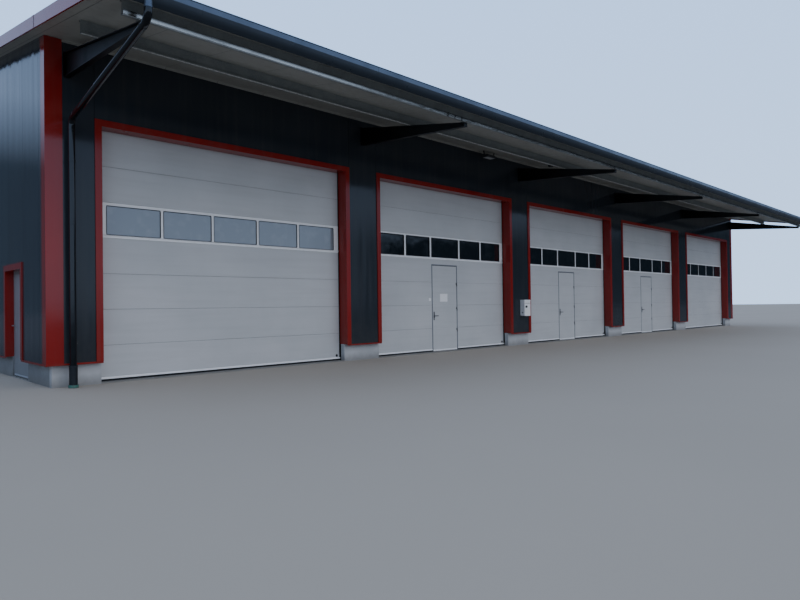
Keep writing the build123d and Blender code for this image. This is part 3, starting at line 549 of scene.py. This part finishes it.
# Seals and guides: black EPDM rubber under each door and up its sides, matt, with
# a faint grey bloom. It also lines the edge of the guides that shows.
material, tree, place = begin("black rubber seal")
bloom = cloud(tree, place, 12, 0.45, 0.75)
base = coat(tree, bloom, "#0B0C0C", "#191A1B")
close(tree, base, (bloom, 0.65, 0.8), cloud(tree, place, 300, detail=1), 0.0003, IOR=1.52)
dress(material, "door_seals", "door_guides")
rubber = material

# Verge laps: the fascia comes in lengths of about 3 m, with a butt strap, a line
# of dark sealant and three rivets at each joint.
verge = cad_box[1][0]
front_joints = [-0.467 + i * 2.952 for i in range(3)]
back_joints = [depth - y for y in reversed(front_joints[1:])]
strap_width, strap_proud, bead_width, bead_proud = 0.09, 0.0025, 0.012, 0.0018
fascia_foot, fascia_top, cover_foot, cover_width = 0.044, 0.149, 0.1465, 0.158
straps, sealant, heads = bmesh.new(), bmesh.new(), []
for side in (-1, 1):
    edge = side * verge
    for y in (*front_joints, *back_joints):
        lean = slope if y < ridge else -slope
        level = underside(y) - lean * y
        strap = (straps, y, y + strap_width, strap_proud)
        bead = (sealant, y - bead_width, y, bead_proud)
        for target, near, far, proud in (strap, bead):
            outline = oblong(near, far, level - fascia_foot, level + fascia_top)
            prism(target, "X", edge - side * 0.001, edge + side * proud, outline, lean)
            cover = oblong(edge, edge - side * cover_width, near, far)
            prism(target, "Z", level + cover_foot, level + cover_foot + proud, cover, lean)
        middle = y + strap_width / 2
        for dz in (-0.02, 0.05, 0.12):
            heads.append(((edge + side * strap_proud, middle, underside(middle) + dz), (side, 0, 0)))
set_up("verge_straps", straps, roof_red)
set_up("verge_sealant", sealant, rubber)
fasten("verge_rivets", heads, roof_red, "red_flashing", *blind_rivet)


# Overhead doors: insulated steel sections with a fine micro-rib, white-grey satin
# coating. The fifth section is an aluminium frame that holds the panes.
material, tree, place = begin("micro-ribbed door section")
spot = add(tree, "SeparateXYZ", {"Vector": place}).node.outputs
drift = cloud(tree, place, 0.9, 0.3, 0.7)
streaks = cloud(tree, place, 1, 0.45, 0.8, stretch=(0.7, 1, 11))
base = coat(tree, drift, "#C9CBCD", "#BFC2C4")
base = coat(tree, streaks, base, "#8B8C8A", 0.12)
# levers and hinge leaves stand out from the face and are dark coated
fittings_y = 0.2565
proud = add(tree, "Math", {0: spot["Y"], 1: fittings_y}, operation="LESS_THAN")
base = coat(tree, proud, base, "#3B3F44")
# 16 mm between the micro-ribs, 0.3 mm deep
turns = add(tree, "Math", {0: spot["Z"], 1: 2 * pi / 0.016}, operation="MULTIPLY")
ribs = add(tree, "Math", {0: turns}, operation="SINE")
close(tree, base, (streaks, 0.38, 0.5), ribs, 0.00015, IOR=1.5)
dress(material, *(f"sectional_door_{i}" for i in range(1, 6)))
dress(material, *(f"wicket_door_{i}" for i in range(2, 5)))

# Window rails, mullions and bottom rails: extruded aluminium, powder coated a
# shade paler than the sections, snapped on round the panes. Black gaskets with
# round corners hold the panes, and black seals lie in the sections' joints.
face = 0.26
half_door = 2.6
pane_low, pane_high, rail_low, rail_high = 2.515, 3.015, 3.019, 3.066
sill, sill_lip = 2.463, 2.497
split_panes, split_gap = [0.855, 0.855, 1.063, 0.855, 0.855], 0.088
even_panes, even_gap = [0.94] * 5, 0.05
leaf_gap_left, leaf_gap_right = 0.55, 0.49
bottom_low, bottom_high = 0.056, 0.088
joint_levels, half_joint = (0.63, 1.24, 1.85, 3.68), 0.0012


def powder_coat(name, light, dark, gloss=0.36, dull=0.5):
    """Powder coating: even colour, fine orange peel, a little grime."""
    material, tree, place = begin(name)
    grime = cloud(tree, place, 7, 0.5, 0.8)
    peel = cloud(tree, place, 320, detail=1)
    close(tree, coat(tree, grime, light, dark), (grime, gloss, dull), peel, 0.0002, IOR=1.5)
    return material


def rounded(start, end, reach, bend):
    """Corner points of a pane's outline, grown by reach and rounded by bend."""
    ring = []
    corners = ((end, pane_high), (start, pane_high), (start, pane_low), (end, pane_low))
    for quarter, (x, z) in enumerate(corners):
        side, rise = (1 if x == end else -1), (1 if z == pane_high else -1)
        middle_x, middle_z = x + side * (reach - bend), z + rise * (reach - bend)
        for step in range(5):
            angle = (quarter + step / 4) * pi / 2
            ring.append((middle_x + bend * cos(angle), middle_z + bend * sin(angle)))
    return ring


def skin_over(mesh, loops):
    """Joins rings of points, each to the next and the last to the first."""
    for a, b in zip(loops, loops[1:] + loops[:1]):
        for i in range(len(a)):
            j = (i + 1) % len(a)
            mesh.faces.new((a[i], a[j], b[j], b[i]))


pale_rail = powder_coat("pale powder coated aluminium", "#F6F8FA", "#E8EBED")
sill_rail = [
    (face, sill), (face - 0.004, sill), (face - 0.004, sill_lip),
    (face - 0.012, sill_lip + 0.006), (face, pane_low),
]
head_rail = [(face, rail_low), (face - 0.004, rail_low), (face - 0.004, 3.064), (face, rail_high)]
bottom_rail = [
    (face, bottom_low), (face - 0.011, bottom_low), (face - 0.011, 0.076),
    (face - 0.003, bottom_high), (face, bottom_high),
]
rails, gaskets, feet, joints = bmesh.new(), bmesh.new(), bmesh.new(), bmesh.new()
for number, centre in enumerate(door_centres):
    wicket = number in (1, 2, 3)
    widths, gap = (split_panes, split_gap) if wicket else (even_panes, even_gap)
    edge = centre - (sum(widths) + 4 * gap) / 2
    left, right = centre - half_door, centre + half_door
    panes = []
    for width in widths:
        panes.append((edge, edge + width))
        edge += width + gap
    prism(rails, "X", left, right, sill_rail)
    prism(rails, "X", left, right, head_rail)
    mullions = [(a[1], b[0]) for a, b in zip(panes, panes[1:])]
    for start, end in [(left, panes[0][0]), *mullions, (panes[-1][1], right)]:
        prism(rails, "Y", face - 0.003, face, oblong(start, end, pane_low, rail_low))
    for start, end in panes:
        outer = rounded(start, end, 0.016 if wicket else 0.003, 0.03)
        inner = rounded(start, end, -0.007, 0.022)
        loops = []
        for ring, proud in ((outer, 0.003), (outer, 0.0055), (inner, 0.0055), (inner, -0.009)):
            loops.append([gaskets.verts.new((x, face - proud, z)) for x, z in ring])
        skin_over(gaskets, loops)
    whole = [(left, right)]
    split = [(left, centre - leaf_gap_left), (centre + leaf_gap_right, right)] if wicket else whole
    for level in joint_levels:
        seal = oblong(face + 0.0008, face + 0.003, level - half_joint, level + half_joint)
        for start, end in split if level < pane_low else whole:
            prism(joints, "X", start, end, seal)
    for start, end in split:
        prism(feet, "X", start, end, bottom_rail)
set_up("window_rails", rails, pale_rail)
set_up("pane_gaskets", gaskets, rubber)
set_up("section_seals", joints, rubber)
set_up("bottom_rails", feet, pale_rail)


# Panes: double acrylic glazing, clear over the dark hall. Four faces reflect, so
# the mirror is stronger than one face gives; faintly wavy and dusty.
material, tree, place = begin("acrylic double pane")
film = cloud(tree, place, 5, 0.5, 0.8)
wave = cloud(tree, place, 3, detail=1)
# painted reflection: the first door's panes are painted pale grey all over, for the bright sky that they
# mirror
along = add(tree, "SeparateXYZ", {"Vector": place}, "X")
painted_reflection_share = add(tree, "Math", {0: along, 1: -9.4}, operation="LESS_THAN")
clear = coat(tree, film, "#101417", "#1C2023")
reflected_sky_colour = coat(tree, film, "#7C858D", "#8A9197")
# an index of 2 stands for the four faces of index 1.49
close(tree, coat(tree, painted_reflection_share, clear, reflected_sky_colour), (film, 0.04, 0.12), wave, 0.0015, IOR=2.0)
dress(material, "door_glass")


# Wicket frames: extruded aluminium legs and head, painted mid grey, with the
# hinges' fixed halves in a darker coat. They are screwed to the sections' edges.
material, tree, place = begin("mid grey coated aluminium")
grime = cloud(tree, place, 7, 0.5, 0.8)
out = add(tree, "SeparateXYZ", {"Vector": place}, "Y")
proud = add(tree, "Math", {0: out, 1: fittings_y}, operation="LESS_THAN")
base = coat(tree, proud, coat(tree, grime, "#747A81", "#666C73"), "#33373C")
close(tree, base, (grime, 0.36, 0.5), cloud(tree, place, 320, detail=1), 0.0002, IOR=1.5)
dress(material, "wicket_frames")

# Wicket fittings: zinc plated screws in the hinges and the lever's plate, a lock
# cylinder under the lever and a pale rail along the leaf's foot.
steel_screw = powder_coat("zinc plated screw", "#9A9DA0", "#85888B", 0.3, 0.4)
small_screw = ((0.0032, 0.001), (0.0045, 0.0008), 8)
leaves = {f"wicket_{i}": door_centres[i - 1] for i in range(2, 5)}
hinge_line, hinge_face, hinge_heights = 0.456, 0.256, (0.56, 1.13, 1.795)
leaf_left, leaf_right, lever_line, lever_face = 0.512, 0.448, 0.045, 0.252
plate_screws, cylinder_z, cylinder_radius = (0.872, 1.048), 0.896, 0.0085


def disc(mesh, x, y, z, radius, depth, sides=20):
    """Adds a round plate that faces the front."""
    turns = [2 * pi * i / sides for i in range(sides)]
    prism(mesh, "Y", y - depth, y, [(x + radius * cos(a), z + radius * sin(a)) for a in turns])


foot_rail = [(face, 0.03), (face - 0.006, 0.03), (face - 0.006, 0.062), (face, 0.068)]
fixed_screws = []
for body, centre in leaves.items():
    hinge_x = centre + hinge_line
    left = centre - leaf_left
    lever_x = left + lever_line
    leaf_screws = []
    for top in hinge_heights:
        for dz in (0.012, 0.033):
            fixed_screws.append(((hinge_x + 0.022, hinge_face, top - dz), (0, -1, 0)))
            leaf_screws.append(((hinge_x - 0.022, hinge_face, top + dz), (0, -1, 0)))
    leaf_screws += [((lever_x, lever_face, z), (0, -1, 0)) for z in plate_screws]
    fasten(f"{body}_screws", leaf_screws, steel_screw, "door_guide", *small_screw, body)
    mesh = bmesh.new()
    disc(mesh, lever_x, lever_face, cylinder_z, cylinder_radius, 0.006)
    keyway = oblong(lever_x - 0.005, lever_x + 0.005, plate_screws[0], cylinder_z)
    prism(mesh, "Y", lever_face - 0.006, lever_face, keyway)
    set_up(f"{body}_lock", mesh, steel_screw, body)
    mesh = bmesh.new()
    prism(mesh, "X", left + 0.004, centre + leaf_right, foot_rail)
    set_up(f"{body}_foot_rail", mesh, pale_rail, body)
fasten("hinge_screws", fixed_screws, steel_screw, "door_guide", *small_screw)

# Plugs and plate: a black rubber plug pushed into each door's end cap, and a
# blank powder coated plate, 85 by 79 mm, glued to the second door.
plug_reach, plug_face, plug_z, plug_radius = 2.5, 0.2505, 0.13, 0.02
mesh = bmesh.new()
for centre in door_centres:
    disc(mesh, centre + plug_reach, plug_face, plug_z, plug_radius, 0.004)
set_up("door_plugs", mesh, rubber, bevel=0.0012)
plate = oblong(-6.915, -6.83, 1.354, 1.433)
mesh = bmesh.new()
prism(mesh, "Y", face - 0.005, face, plate)
set_up("door_plate", mesh, pale_rail, bevel=0.0015)

# Paper sheet: blank office paper, 297 by 210 mm, taped to the second door's wicket
# and slightly cockled by damp. Matt white, with fibres of 2 mm.
material, tree, place = begin("office paper")
fibre = cloud(tree, place, 500, detail=2)
close(tree, coat(tree, fibre, "#F7F8FA", "#EDEFF2"), 0.85, fibre, 0.0001, IOR=1.45)
sheet_left, sheet_foot, sheet_face = -6.474, 1.335, 0.2568
sheet_width, sheet_height, columns, lines = 0.297, 0.21, 24, 16
mesh = bmesh.new()
grid = []
for level in range(lines + 1):
    z = sheet_foot + sheet_height * level / lines
    for column in range(columns + 1):
        x = sheet_left + sheet_width * column / columns
        cockle = 0.0012 * sin(x * 61.0 + 2.0 * sin(z * 37.0)) + 0.0009 * sin(z * 83.0 + x * 29.0)
        grid.append(mesh.verts.new((x, sheet_face + cockle, z)))
for level in range(lines):
    for column in range(columns):
        a = level * (columns + 1) + column
        mesh.faces.new((grid[a], grid[a + 1], grid[a + columns + 2], grid[a + columns + 1]))
sheet = set_up("paper_sheet", mesh, material, "wicket_2")
thickness = sheet.modifiers.new("thickness", "SOLIDIFY")
thickness.thickness = 0.0004


# Side door: flush steel leaf in a folded steel frame, grey paint over both, with
# a long steel handle plate and an overlapping weather bar along the foot.
# painted shade: the door's light grey paint is given as mid grey, darker for the shade on this side
side_paint = coil_coated("grey door paint", "#8A8D91", "#808387", 0.34, 0.46, 0.0008)
dress(side_paint, "side_door", "side_door_frame")
leaf_x = -15.82
bar_start, bar_end, bar_foot = 1.562, 2.548, 0.045
weather_bar = [
    (leaf_x, bar_foot), (leaf_x - 0.018, bar_foot),
    (leaf_x - 0.018, bar_foot + 0.005), (leaf_x, bar_foot + 0.025),
]
mesh = bmesh.new()
prism(mesh, "Y", bar_start, bar_end, weather_bar)
set_up("side_door_weather_bar", mesh, side_paint, "side_leaf")
handle_plate = oblong(2.483, 2.523, 0.86, 1.14)
mesh = bmesh.new()
prism(mesh, "X", leaf_x - 0.003, leaf_x + 0.001, handle_plate)
set_up("side_door_plate", mesh, steel_screw, "side_leaf", bevel=0.001)


# Gutters: pre-weathered zinc sheet, blue-grey with darker runs, with a rolled
# front rim, straps across the top and soldered laps every 3 m.
material, tree, place = begin("pre-weathered zinc")
patina = cloud(tree, place, 2.5, 0.35, 0.7)
runs = cloud(tree, place, 1.5, 0.5, 0.8, stretch=(3, 8, 0.6))
base = coat(tree, runs, coat(tree, patina, "#66717E", "#5D6876"), "#4A545E", 0.4)
# painted shade: faces that look down are painted darker
facing = add(tree, "NewGeometry", out="Normal")
facing = add(tree, "SeparateXYZ", {"Vector": facing}, "Z")
downward_shade = add(tree, "MapRange", {"Value": facing, "From Min": -0.3, "From Max": -0.7})
base = coat(tree, downward_shade, base, "#434C56")
peel = cloud(tree, place, 500, detail=1)
close(tree, base, (patina, 0.26, 0.36), peel, 0.0001, Metallic=0.6)
dress(material, "gutter_front", "gutter_back")
zinc = material
# the trough's wall and front curve, as a section across the front gutter
wall_y, wall_z, lip_y, lip_z = -3.33, 4.965, -3.47, 5.07
curve_y, curve_z, curve = -3.2287, 5.0998, 0.26
arc = [radians(33.5 + 4.34 * i) for i in range(9)]
arc = [(curve_y - curve * sin(a), curve_z - curve * cos(a)) for a in arc]
skin = [(wall_y, wall_z), *arc, (lip_y, lip_z)]
lap_centre_y, lap_centre_z, lap_thickness = -3.36, 5.03, 0.0022
rim_y, rim_z, rim_radius = -3.468, 5.0815, 0.009
lap_start, strap_start = -15.02, -15.765
# the back gutter is the front one's mirror image on the higher eaves
mirror_y, back_rise = 9.5, 0.5425


def section(points, back):
    """Points of the front gutter's section, moved to the back gutter if asked."""
    return [(mirror_y - y, z + back_rise) for y, z in points] if back else list(points)


outer = []
for y, z in skin:
    away = Vector((y - lap_centre_y, z - lap_centre_z)).normalized() * lap_thickness
    outer.append((y + away.x, z + away.y))
turns = [i * pi / 6 for i in range(12)]
rim = [(rim_y + rim_radius * cos(a), rim_z + rim_radius * sin(a)) for a in turns]
strap = [(-3.333, 5.016), (-3.464, 5.083), (-3.466, 5.087), (-3.333, 5.02)]
for name, back in (("front", False), ("back", True)):
    rims, laps, straps = bmesh.new(), bmesh.new(), bmesh.new()
    prism(rims, "X", -verge, verge, section(rim, back))
    set_up(f"{name}_gutter_rim", rims, zinc)
    prism(laps, "X", lap_start, lap_start + 0.035, section(skin + outer[::-1], back))
    row(f"{name}_gutter_laps", laps, zinc, 11, (3.0, 0, 0))
    prism(straps, "X", strap_start, strap_start + 0.03, section(strap, back))
    row(f"{name}_gutter_straps", straps, galvanised, 36, (0.9, 0, 0))


# Downpipes: coated steel tube in satin anthracite, with plug sockets at the
# elbows and clips with a closing screw. The outlet's collar stays bare zinc.
material, tree, place = begin("satin anthracite coated tube")
dust = cloud(tree, place, 5, 0.45, 0.8)
base = coat(tree, dust, "#0F1215", "#1A1E22", 0.5)
close(tree, base, (dust, 0.07, 0.15), cloud(tree, place, 260, detail=1), 0.0001, IOR=1.58)
dress(material, "downpipe_front", "downpipe_back_left", "downpipe_back_right", "pipe_clips")
pipe_paint = material
pipe_radius, pipe_x, front_pipe_y, back_pipe_y = 0.05, 15.588, -0.105, 12.605
socket_heights, clip_heights = (2.62, 0.375), (0.705, 2.015, 3.615)
socket_length, off_bend, clip_reach = 0.05, 0.17, 0.0545
upright_way = (0, 0, 1)
collar_turns = [2 * pi * i / 28 for i in range(28)]


def collar(mesh, centre, along, radius, height, wall=0.003):
    """Adds a socket ring round a pipe, its two rims chamfered."""
    centre = Vector(centre)
    along = Vector(along).normalized()
    side = along.orthogonal().normalized()
    other = along.cross(side)
    half, chamfer, bite = height / 2, 0.003, 0.002
    profile = [
        (-half, radius), (-half + chamfer, radius + wall), (half - chamfer, radius + wall),
        (half, radius), (half, radius - bite), (-half, radius - bite),
    ]
    loops = []
    for way, reach in profile:
        spokes = [(side * cos(a) + other * sin(a)) * reach for a in collar_turns]
        loops.append([mesh.verts.new(centre + along * way + spoke) for spoke in spokes])
    skin_over(mesh, loops)


# each run: its elbow under the gutter, its bend at the wall, the outlet's height,
# and how far down the slanting length a middle socket sits
pipe_runs = [
    ((-15.688, -3.4, 4.7078), (-pipe_x, front_pipe_y, 4.2878), 4.8428, 0.59),
    ((-pipe_x, 12.9, 5.2503), (-pipe_x, back_pipe_y, 4.9503), 5.3853, None),
    ((pipe_x, 12.9, 5.2503), (pipe_x, back_pipe_y, 4.9503), 5.3853, None),
]
sockets, collars, clip_screws = bmesh.new(), bmesh.new(), []
for elbow, bend, top, middle in pipe_runs:
    elbow, bend = Vector(elbow), Vector(bend)
    fall = (bend - elbow).normalized()
    collar(collars, (elbow.x, elbow.y, top + 0.012), upright_way, pipe_radius, 0.03)
    if middle:
        ends = (elbow + fall * off_bend, bend - fall * off_bend)
        for spot in (ends[0], elbow.lerp(bend, middle), ends[1]):
            collar(sockets, spot, fall, pipe_radius, socket_length)
    for z in (bend.z - 0.16, *socket_heights):
        collar(sockets, (bend.x, bend.y, z), upright_way, pipe_radius, socket_length)
    clip_screws += [((bend.x + clip_reach, bend.y, z), (1, 0, 0)) for z in clip_heights]
set_up("pipe_sockets", sockets, pipe_paint)
set_up("outlet_collars", collars, zinc)
fasten("clip_screws", clip_screws, galvanised, "galvanised_steel", (0.006, 0.006), (0.009, 0.002))


# Standpipes: dark grey drain plastic, moulded, with a dull skin and soil splashes,
# a lip ring at the top and a green sealing ring in the socket at the foot.
material, tree, place = begin("dark drain plastic")
soil = cloud(tree, place, 14, 0.5, 0.75)
base = coat(tree, soil, "#14181B", "#26272A")
close(tree, base, (soil, 0.4, 0.62), cloud(tree, place, 350, detail=1), 0.0002, IOR=1.54)
dress(material, "standpipes")
lip_plastic = material
material, tree, place = begin("green moulded drain plastic")
soil = cloud(tree, place, 22, 0.45, 0.75)
base = coat(tree, soil, "#3F7268", "#5A6A60")
close(tree, base, (soil, 0.45, 0.65), soil, 0.0004, IOR=1.54)
lips, rings = bmesh.new(), bmesh.new()
for x, y in ((-pipe_x, front_pipe_y), (-pipe_x, back_pipe_y), (pipe_x, back_pipe_y)):
    collar(lips, (x, y, 0.34), upright_way, 0.062, 0.026)
    collar(rings, (x, y, 0.0255), upright_way, 0.0722, 0.045)
set_up("standpipe_lips", lips, lip_plastic)
set_up("standpipe_rings", rings, material)


# Letter box: white powder coated sheet with a hooded lid, a flap over the slot,
# a black lock knob on the front and a black plug low in its side.
white = powder_coat("white powder coat", "#F4F5F6", "#E6E8E9")
dress(white, "wall_box")
box_left, box_right, box_front = -3.147, -2.833, -0.155
hood = [(-0.02, 1.374), (-0.163, 1.36), (-0.163, 1.345), (-0.159, 1.345), (-0.159, 1.356), (-0.02, 1.37)]
flap, slit = oblong(-3.105, -2.875, 1.272, 1.318), oblong(-3.11, -2.87, 1.262, 1.272)
plug, knob_x, knob_z = oblong(-0.1, -0.06, 0.97, 1.0), -3.067, 1.165
mesh = bmesh.new()
prism(mesh, "X", box_left, box_right, hood)
prism(mesh, "Y", box_front - 0.0035, box_front, flap)
set_up("letter_flap", mesh, white, bevel=0.001)
mesh = bmesh.new()
prism(mesh, "X", box_left, box_left + 0.002, plug)
disc(mesh, knob_x, box_front, knob_z, 0.034, 0.028)
prism(mesh, "Y", box_front - 0.0006, box_front + 0.001, slit)
set_up("letter_box_marks", mesh, rubber)


# Floodlight: dark grey cast aluminium with cooling fins and a frosted, toughened
# glass that scatters, held by a bolt at each side, with a screwed supply box.
grey_cast = powder_coat("grey cast aluminium paint", "#36393C", "#2C2F32")
dress(grey_cast, "floodlight")
lamp_x, half_lamp, lamp_back, lamp_front, glass_foot = -4.9, 0.164, -0.161, -0.319, 5.344
mesh = bmesh.new()
first_fin = lamp_x - 0.16
fin = oblong(first_fin - 0.004, first_fin + 0.004, 5.402, 5.424)
prism(mesh, "Y", lamp_front + 0.001, lamp_back - 0.001, fin)
row("lamp_fins", mesh, grey_cast, 9, (0.04, 0, 0))
material, tree, place = begin("frosted lamp glass")
haze = cloud(tree, place, 30, 0.3, 0.7)
close(tree, coat(tree, haze, "#C9CED2", "#B9BFC4"), (haze, 0.12, 0.24), haze, 0.0002, IOR=1.52)
glass = oblong(lamp_x - half_lamp, lamp_x + half_lamp, lamp_front, lamp_back)
mesh = bmesh.new()
prism(mesh, "Z", glass_foot, glass_foot + 0.005, glass)
set_up("lamp_glass", mesh, material, bevel=0.001)
bolts = [((lamp_x + side * 0.183, -0.24, 5.372), (side, 0, 0)) for side in (-1, 1)]
for dx in (-0.045, 0.045):
    bolts += [((-2.5 + dx, -0.786, 5.44 + dz), (0, -1, 0)) for dz in (-0.05, -0.028)]
fasten("lamp_bolts", bolts, steel_screw, "lamp_grey", (0.005, 0.004), (0.008, 0.0015))


# Studio: a wide pale floor, a soft overcast sky all round and one broad soft
# light from the front, as under the evening sky.
half_floor = 300
material, tree, place = begin("pale studio floor")
pale = coat(tree, cloud(tree, place, 0.2, 0.3, 0.7), "#B0A89C", "#ACA498")
# mirrors show a darker floor, so that the foot of each glossy wall stays dark
mirrored = add(tree, "LightPath", out="Is Glossy Ray")
close(tree, coat(tree, mirrored, pale, "#57534E"), 0.9)
mesh = bpy.data.meshes.new("studio_floor")
corners = oblong(-half_floor, half_floor, -half_floor, half_floor)
mesh.from_pydata([(x, y, 0) for x, y in corners], [], [(0, 1, 2, 3)])
mesh.materials.append(material)
floor = bpy.data.objects.new("studio_floor", mesh)
scene.collection.objects.link(floor)

world = bpy.data.worlds.new("overcast")
scene.world = world
world.use_nodes = True
tree = world.node_tree
tree.nodes.clear()
way = add(tree, "TexCoord", out="Generated")
spot = add(tree, "SeparateXYZ", {"Vector": way}).node.outputs
share = add(tree, "MapRange", {"Value": spot["Z"], "From Min": -0.02, "From Max": 0.5})
sky = coat(tree, share, "#BAD0EF", "#9ABAEB")


# Two dark cloths, low before the hall's right end and behind its left end, as a
# photographer sets them, so that glossy panels and panes have something to mirror.
# The camera itself doesn't see them.
def cloth(turned, start, end, low, high):
    """Share of a dark cloth between two bearings, in radians, below a soft upper edge."""
    rising = {"Value": turned, "From Min": start, "From Max": start + 0.14}
    falling = {"Value": turned, "From Min": end + 0.2, "From Max": end}
    under = {"Value": spot["Z"], "From Min": high, "From Max": low}
    rising, falling, under = (add(tree, "MapRange", part) for part in (rising, falling, under))
    between = add(tree, "Math", {0: rising, 1: falling}, operation="MULTIPLY")
    return add(tree, "Math", {0: between, 1: under}, operation="MULTIPLY")


minus_x = add(tree, "Math", {0: spot["X"], 1: -1.0}, operation="MULTIPLY")
minus_y = add(tree, "Math", {0: spot["Y"], 1: -1.0}, operation="MULTIPLY")
to_front = add(tree, "Math", {0: spot["X"], 1: minus_y}, operation="ARCTAN2")
to_back = add(tree, "Math", {0: minus_x, 1: spot["Y"]}, operation="ARCTAN2")
thin = cloth(to_back, -0.1, 1.3, 0.2, 0.29)
thin = add(tree, "Math", {0: thin, 1: 0.93}, operation="MULTIPLY")
dark = cloth(to_front, 0.62, 1.7, 0.1, 0.155)
dark = add(tree, "Math", {0: dark, 1: thin}, operation="MAXIMUM")
rays = add(tree, "LightPath").node.outputs
seen = rays["Is Camera Ray"]
unseen = add(tree, "Math", {0: 1.0, 1: seen}, operation="SUBTRACT")
sky = coat(tree, dark, sky, "#222E3A", unseen)
# matt surfaces are lit by a whiter sky, as under thin cloud
sky = coat(tree, rays["Is Diffuse Ray"], sky, "#D2D6DB", 0.35)
# the sky behind the hall is a little brighter and bluer than the light that it gives
sky = coat(tree, seen, sky, "#A2C8F6", 0.5)
strength = add(tree, "Math", {0: seen, 1: 0.9, 2: 1.2}, operation="MULTIPLY_ADD")
glow = add(tree, "Background", {"Color": sky, "Strength": strength})
add(tree, "OutputWorld", {"Surface": glow})

sun = bpy.data.lights.new("broad_soft_light", "SUN")
sun.energy = 0.8
sun.angle = radians(60)
sun.color = colour("#FFF3E4")[:3]
lamp = bpy.data.objects.new("broad_soft_light", sun)
lamp.rotation_euler = (radians(57), 0, radians(12))
# the sky alone is seen in mirrors, without the light's hard edge
lamp.visible_glossy = False
scene.collection.objects.link(lamp)

# Camera: the photograph's viewing point, before the hall's left end and 1.2 m up.
eye_place = (-18.65, -10.6894, 1.2214)
yaw, pitch, roll = radians(44.2916), radians(0.6041), radians(-0.7836)
focal_pixels, photo_width = 611.2775, 800
ahead = Vector((sin(yaw) * cos(pitch), cos(yaw) * cos(pitch), sin(pitch)))
right = Vector((cos(yaw), -sin(yaw), 0))
upward = right.cross(ahead)
tilted = right * cos(roll) + upward * sin(roll)
upright = upward * cos(roll) - right * sin(roll)
eye = bpy.data.cameras.new("photo_camera")
eye.sensor_width = 36
eye.lens = focal_pixels * eye.sensor_width / photo_width
eye.clip_end = 1000
camera = bpy.data.objects.new("photo_camera", eye)
turned = Matrix((tilted, upright, -ahead)).transposed().to_4x4()
camera.matrix_world = Matrix.Translation(eye_place) @ turned
scene.collection.objects.link(camera)
scene.camera = camera
